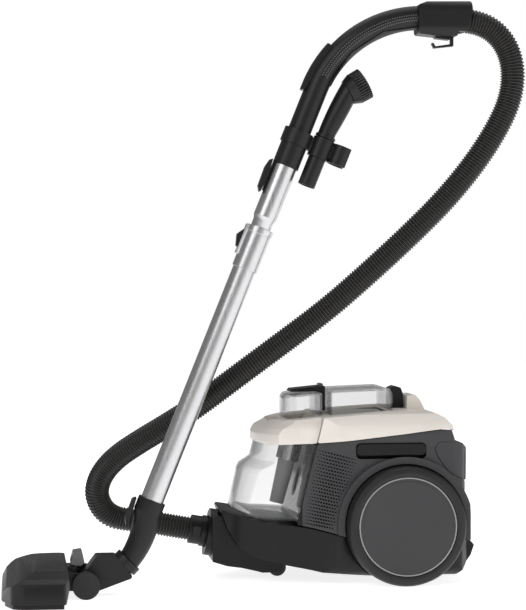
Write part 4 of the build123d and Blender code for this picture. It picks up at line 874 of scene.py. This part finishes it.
# ---------------------------------------------------------------- perforated side panels
@dataclass
class SidePanel:
    """A charcoal side panel with its slanted field of graded round holes."""

    side: str
    outward: float
    columns: int = 13
    rows: int = 23
    top_left: tuple[float, float] = (0.1175, 0.2065)
    top_right: tuple[float, float] = (0.172, 0.1925)
    low_left: tuple[float, float] = (0.0945, 0.095)
    low_right: tuple[float, float] = (0.142, 0.0865)
    largest: float = 0.00165
    smallest: float = 0.0007
    usual: float = 0.0012
    keep_off_wheel: float = 0.1085
    wheel: tuple[float, float] = (0.248, 0.092)

    def _holes(self, node: str) -> bpy.types.Mesh:
        """Points on the panel's face, with its slope and each hole's radius."""
        surface = tree_of([node])
        inward = Vector((0.0, -self.outward, 0.0))
        places, facing, sizes = [], [], []
        for row in range(self.rows):
            down = row / (self.rows - 1)
            left = Vector(self.top_left).lerp(Vector(self.low_left), down)
            right = Vector(self.top_right).lerp(Vector(self.low_right), down)
            for column in range(self.columns):
                along = (column + 0.5 * (row % 2)) / (self.columns - 0.5)
                x, z = left.lerp(right, along)
                if math.dist((x, z), self.wheel) < self.keep_off_wheel:
                    continue
                hit, normal, _, _ = surface.ray_cast(Vector((x, 0.074 + self.outward * 0.3, z)), inward)
                if hit is None:
                    continue
                places.append(hit)
                facing.append(normal)
                share = math.sin(math.pi * min(1.0, max(0.0, along * 0.92 + 0.04))) ** 0.8
                sizes.append(self.smallest + (self.largest - self.smallest) * share)
        return points_mesh("hole_points", places, facing, sizes)

    def build(self, palette: Palette) -> None:
        """Round the panel's edges and cut every hole through its wall."""
        node = "side_panel_" + self.side
        points = bpy.data.objects.new("hole_points_" + self.side, self._holes(node))
        bpy.context.scene.collection.objects.link(points)
        tree = GeoTree("perforations_" + self.side, {"Depth": 0.009})
        source = tree.node("GeometryNodeObjectInfo", None, {"Object": points})
        drill = tree.node("GeometryNodeMeshCylinder", {"fill_type": "NGON"},
                          {"Vertices": 12, "Radius": 1.0,
                           "Depth": tree.math("DIVIDE", tree.size("Depth"), self.usual)})
        drills = copies_on_points(tree, source.outputs["Geometry"], drill)
        tools = tree.node("GeometryNodeRealizeInstances", None, {0: drills})
        cut = tree.node("GeometryNodeMeshBoolean", {"operation": "DIFFERENCE", "solver": "EXACT"})
        tree.tree.links.new(tree.entry.outputs["Geometry"], cut.inputs["Mesh 1"])
        tree.tree.links.new(tools.outputs[0], cut.inputs["Mesh 2"])
        mesh = tree.run(node + "_cut", cleaned_copy(node, node + "_mesh"), cut, palette.charcoal, 0.0008)
        bpy.data.objects.remove(points)
        smooth(mesh)
        settle(new_piece(node + "_drilled", mesh, palette.charcoal), "machine", "charcoal", node)


# ---------------------------------------------------------------- handle grip
@dataclass
class GripDots:
    """The staggered rows of small raised dots along both sides of the handle's bend."""

    centre: tuple[float, float] = (0.265992, 0.688699)
    bend: float = 0.175
    plane: float = -0.086
    first: float = 151.0
    last: float = 93.0
    pitch: float = 0.0036
    rows: tuple[float, ...] = (0.0022, -0.0018, -0.0058)
    radius: float = 0.0011

    def build(self, palette: Palette) -> None:
        """Lay the dots on the handle's surface."""
        surface = tree_of(["handle_body", "grip_inlay"])
        places, facing, sizes = [], [], []
        arc = math.radians(self.first - self.last) * self.bend
        count = int(arc / self.pitch)
        for number, row in enumerate(self.rows):
            for step in range(count):
                share = (step + 0.5 * (number % 2)) / count
                angle = math.radians(self.first + (self.last - self.first) * share)
                x = self.centre[0] + (self.bend + row) * math.cos(angle)
                z = self.centre[1] + (self.bend + row) * math.sin(angle)
                for outward in (-1.0, 1.0):
                    start = Vector((x, self.plane + outward * 0.05, z))
                    hit, normal, _, _ = surface.ray_cast(start, Vector((0.0, -outward, 0.0)))
                    if hit is not None:
                        places.append(hit + normal * 0.00006)
                        facing.append(normal)
                        sizes.append(self.radius)
        tree = GeoTree("grip_dots", {"Bulge": 0.12})
        dot = tree.node("GeometryNodeMeshCone", {"fill_type": "NGON"},
                        {"Vertices": 10, "Radius Top": 0.8, "Radius Bottom": 1.0,
                         "Depth": tree.size("Bulge")})
        # the dots take a light grey that paints the highlight on their rims
        mesh = tree.run("grip_dots", points_mesh("grip_points", places, facing, sizes),
                        copies_on_points(tree, tree.entry.outputs["Geometry"], dot), palette.dot_highlight_grey)
        smooth(mesh)
        settle(new_piece("grip_dots", mesh, palette.dot_highlight_grey), "machine", "soft_grip")


# ---------------------------------------------------------------- dusting brush
@dataclass
class BristleRing:
    """The tufts of the stowed tool's dusting brush, in rings round its mouth."""

    base: Point = (0.152, -0.086, 0.749)
    rise: float = 30.0
    root: float = 0.012
    length: float = 0.0178
    rings: tuple[tuple[float, int], ...] = ((0.0178, 26), (0.0204, 30), (0.023, 34))
    thick: float = 0.00165

    def build(self, palette: Palette) -> None:
        """Stand a tapered tuft on every point of the rings."""
        along = Vector((math.cos(math.radians(self.rise)), 0.0, math.sin(math.radians(self.rise))))
        side = Vector((0.0, 1.0, 0.0))
        across = along.cross(side)
        middle = Vector(self.base) + along * self.root
        places, facing, sizes = [], [], []
        for number, (radius, count) in enumerate(self.rings):
            for step in range(count):
                angle = math.tau * (step + 0.5 * (number % 2)) / count
                places.append(middle + (side * math.cos(angle) + across * math.sin(angle)) * radius)
                facing.append(along)
                sizes.append(self.thick)
        tree = GeoTree("bristle_tufts", {"Root": 0.62, "Tip": 0.92})
        tuft = tree.node("GeometryNodeMeshCone", {"fill_type": "NGON"},
                         {"Vertices": 7, "Radius Top": tree.size("Tip"), "Radius Bottom": tree.size("Root"),
                          "Depth": self.length / self.thick})
        mesh = tree.run("bristle_tufts", points_mesh("tuft_points", places, facing, sizes),
                        copies_on_points(tree, tree.entry.outputs["Geometry"], tuft), palette.bristle)
        smooth(mesh)
        settle(new_piece("bristle_tufts", mesh, palette.bristle), "tool", "bristle", "brush_bristles")


# ---------------------------------------------------------------- the whole machine
class Machine:
    """The whole vacuum cleaner, built piece by piece."""

    def __init__(self) -> None:
        """Make the palette."""
        self.palette = Palette()

    def plain_parts(self) -> list[RefinedPart]:
        """The parts that keep their CAD shape, with rounded edges."""
        p = self.palette
        return [
            RefinedPart("lower_chassis", p.black, "black", 0.0012),
            RefinedPart("inlet_ring", p.black, "black", 0.0010),
            RefinedPart("main_housing", p.black, "black", 0.0012),
            RefinedPart("rear_top_cover", p.cream, "cream", 0.0015),
            RefinedPart("exhaust_cover", p.charcoal, "charcoal", 0.0010),
            RefinedPart("rear_bumper", p.black, "black", 0.0015),
            RefinedPart("rewind_pedal", p.black, "black", 0.0010),
            RefinedPart("power_pedal", p.black, "black", 0.0010),
            RefinedPart("lid_latch", p.black, "black", 0.0008),
            RefinedPart("castor_fork", p.black, "black"),
            RefinedPart("castor_wheel", p.rubber, "tyre"),
            RefinedPart("hose_cuff", p.black, "black", 0.0010),
            RefinedPart("cuff_button", p.wand_plastic, "grey"),
            RefinedPart("handle_body", p.wand_plastic, "charcoal", 0.0010),
            RefinedPart("grip_inlay", p.grip, "soft_grip"),
            RefinedPart("handle_shroud", p.wand_plastic, "charcoal", 0.0010),
            RefinedPart("suction_slider", p.wand_plastic, "latch_grey"),
            RefinedPart("handle_latch", p.wand_plastic, "latch_grey"),
            RefinedPart("tool_clip", p.wand_plastic, "charcoal"),
            RefinedPart("crevice_tool", p.wand_plastic, "charcoal"),
            RefinedPart("brush_holder", p.wand_plastic, "charcoal"),
            RefinedPart("upper_tube", p.tube, "satin_tube", 0.0004),
            RefinedPart("lower_tube", p.tube, "satin_tube", 0.0004),
            RefinedPart("tube_collar", p.tube, "satin_tube", 0.0006),
            RefinedPart("telescope_button", p.wand_plastic, "latch_grey"),
            RefinedPart("elbow", p.wand_plastic, "charcoal", 0.0008),
            RefinedPart("elbow_latch", p.wand_plastic, "latch_grey"),
            RefinedPart("neck", p.wand_plastic, "charcoal", 0.0008),
            RefinedPart("head_shell", p.wand_plastic, "charcoal", 0.0012),
            RefinedPart("head_wheels", p.rubber, "tyre"),
            RefinedPart("sole_plate", p.black, "black"),
            RefinedPart("brush_strips", p.bristle, "bristle"),
            RefinedPart("floor_pedal", p.mid_grey, "grey", 0.0008),
            RefinedPart("filter_lid", p.clear, "clear", 0.0008),
            RefinedPart("dust_bin", p.clear, "clear", 0.0008),
            RefinedPart("bin_lid", p.cream, "cream", 0.0012),
            RefinedPart("cyclone_dome", p.clear, "clear", 0.0008),
            RefinedPart("bin_handle", p.black, "black", 0.0008),
            RefinedPart("bin_release", p.mid_grey, "grey", 0.0005),
            RefinedPart("cyclone_cone", p.light_grey, "grey", 0.0005),
            RefinedPart("mesh_shroud", p.steel, "mesh", 0.0),
            RefinedPart("filter_cartridge", p.media, "filter", 0.0005),
            RefinedPart("exhaust_filter", p.media, "filter", 0.0005),
            RefinedPart("motor_housing", p.light_grey, "grey"),
            RefinedPart("motor", p.steel, "motor"),
            RefinedPart("fan", p.steel, "motor", 0.0),
            RefinedPart("cord_reel", p.black, "black"),
            RefinedPart("reel_housing", p.light_grey, "grey"),
            RefinedPart("cord_outlet_bush", p.rubber, "black"),
            RefinedPart("control_board", p.board, "board", 0.0002),
            RefinedPart("chassis_screws", p.steel, "steel", 0.0002),
            RefinedPart("stub_axles", p.steel, "steel", 0.0004),
        ]

    def build(self) -> None:
        """Build the studio, the hose and every piece."""
        Studio().build()
        Hose().build(self.palette.hose)
        for side, outward in (("near", -1.0), ("far", 1.0)):
            RearWheel(side, outward).build(self.palette)
            SidePanel(side, outward).build(self.palette)
        GripDots().build(self.palette)
        BristleRing().build(self.palette)
        for part in self.plain_parts():
            part.build()


def main() -> None:
    """Build the scene."""
    logging.basicConfig(level=logging.INFO, format="%(name)s: %(message)s")
    for spare in ("Cube", "Light", "Camera"):
        if spare in bpy.data.objects:
            bpy.data.objects.remove(bpy.data.objects[spare])
    bpy.context.scene.view_settings.view_transform = "Standard"
    Machine().build()


if __name__ == "__main__":
    main()
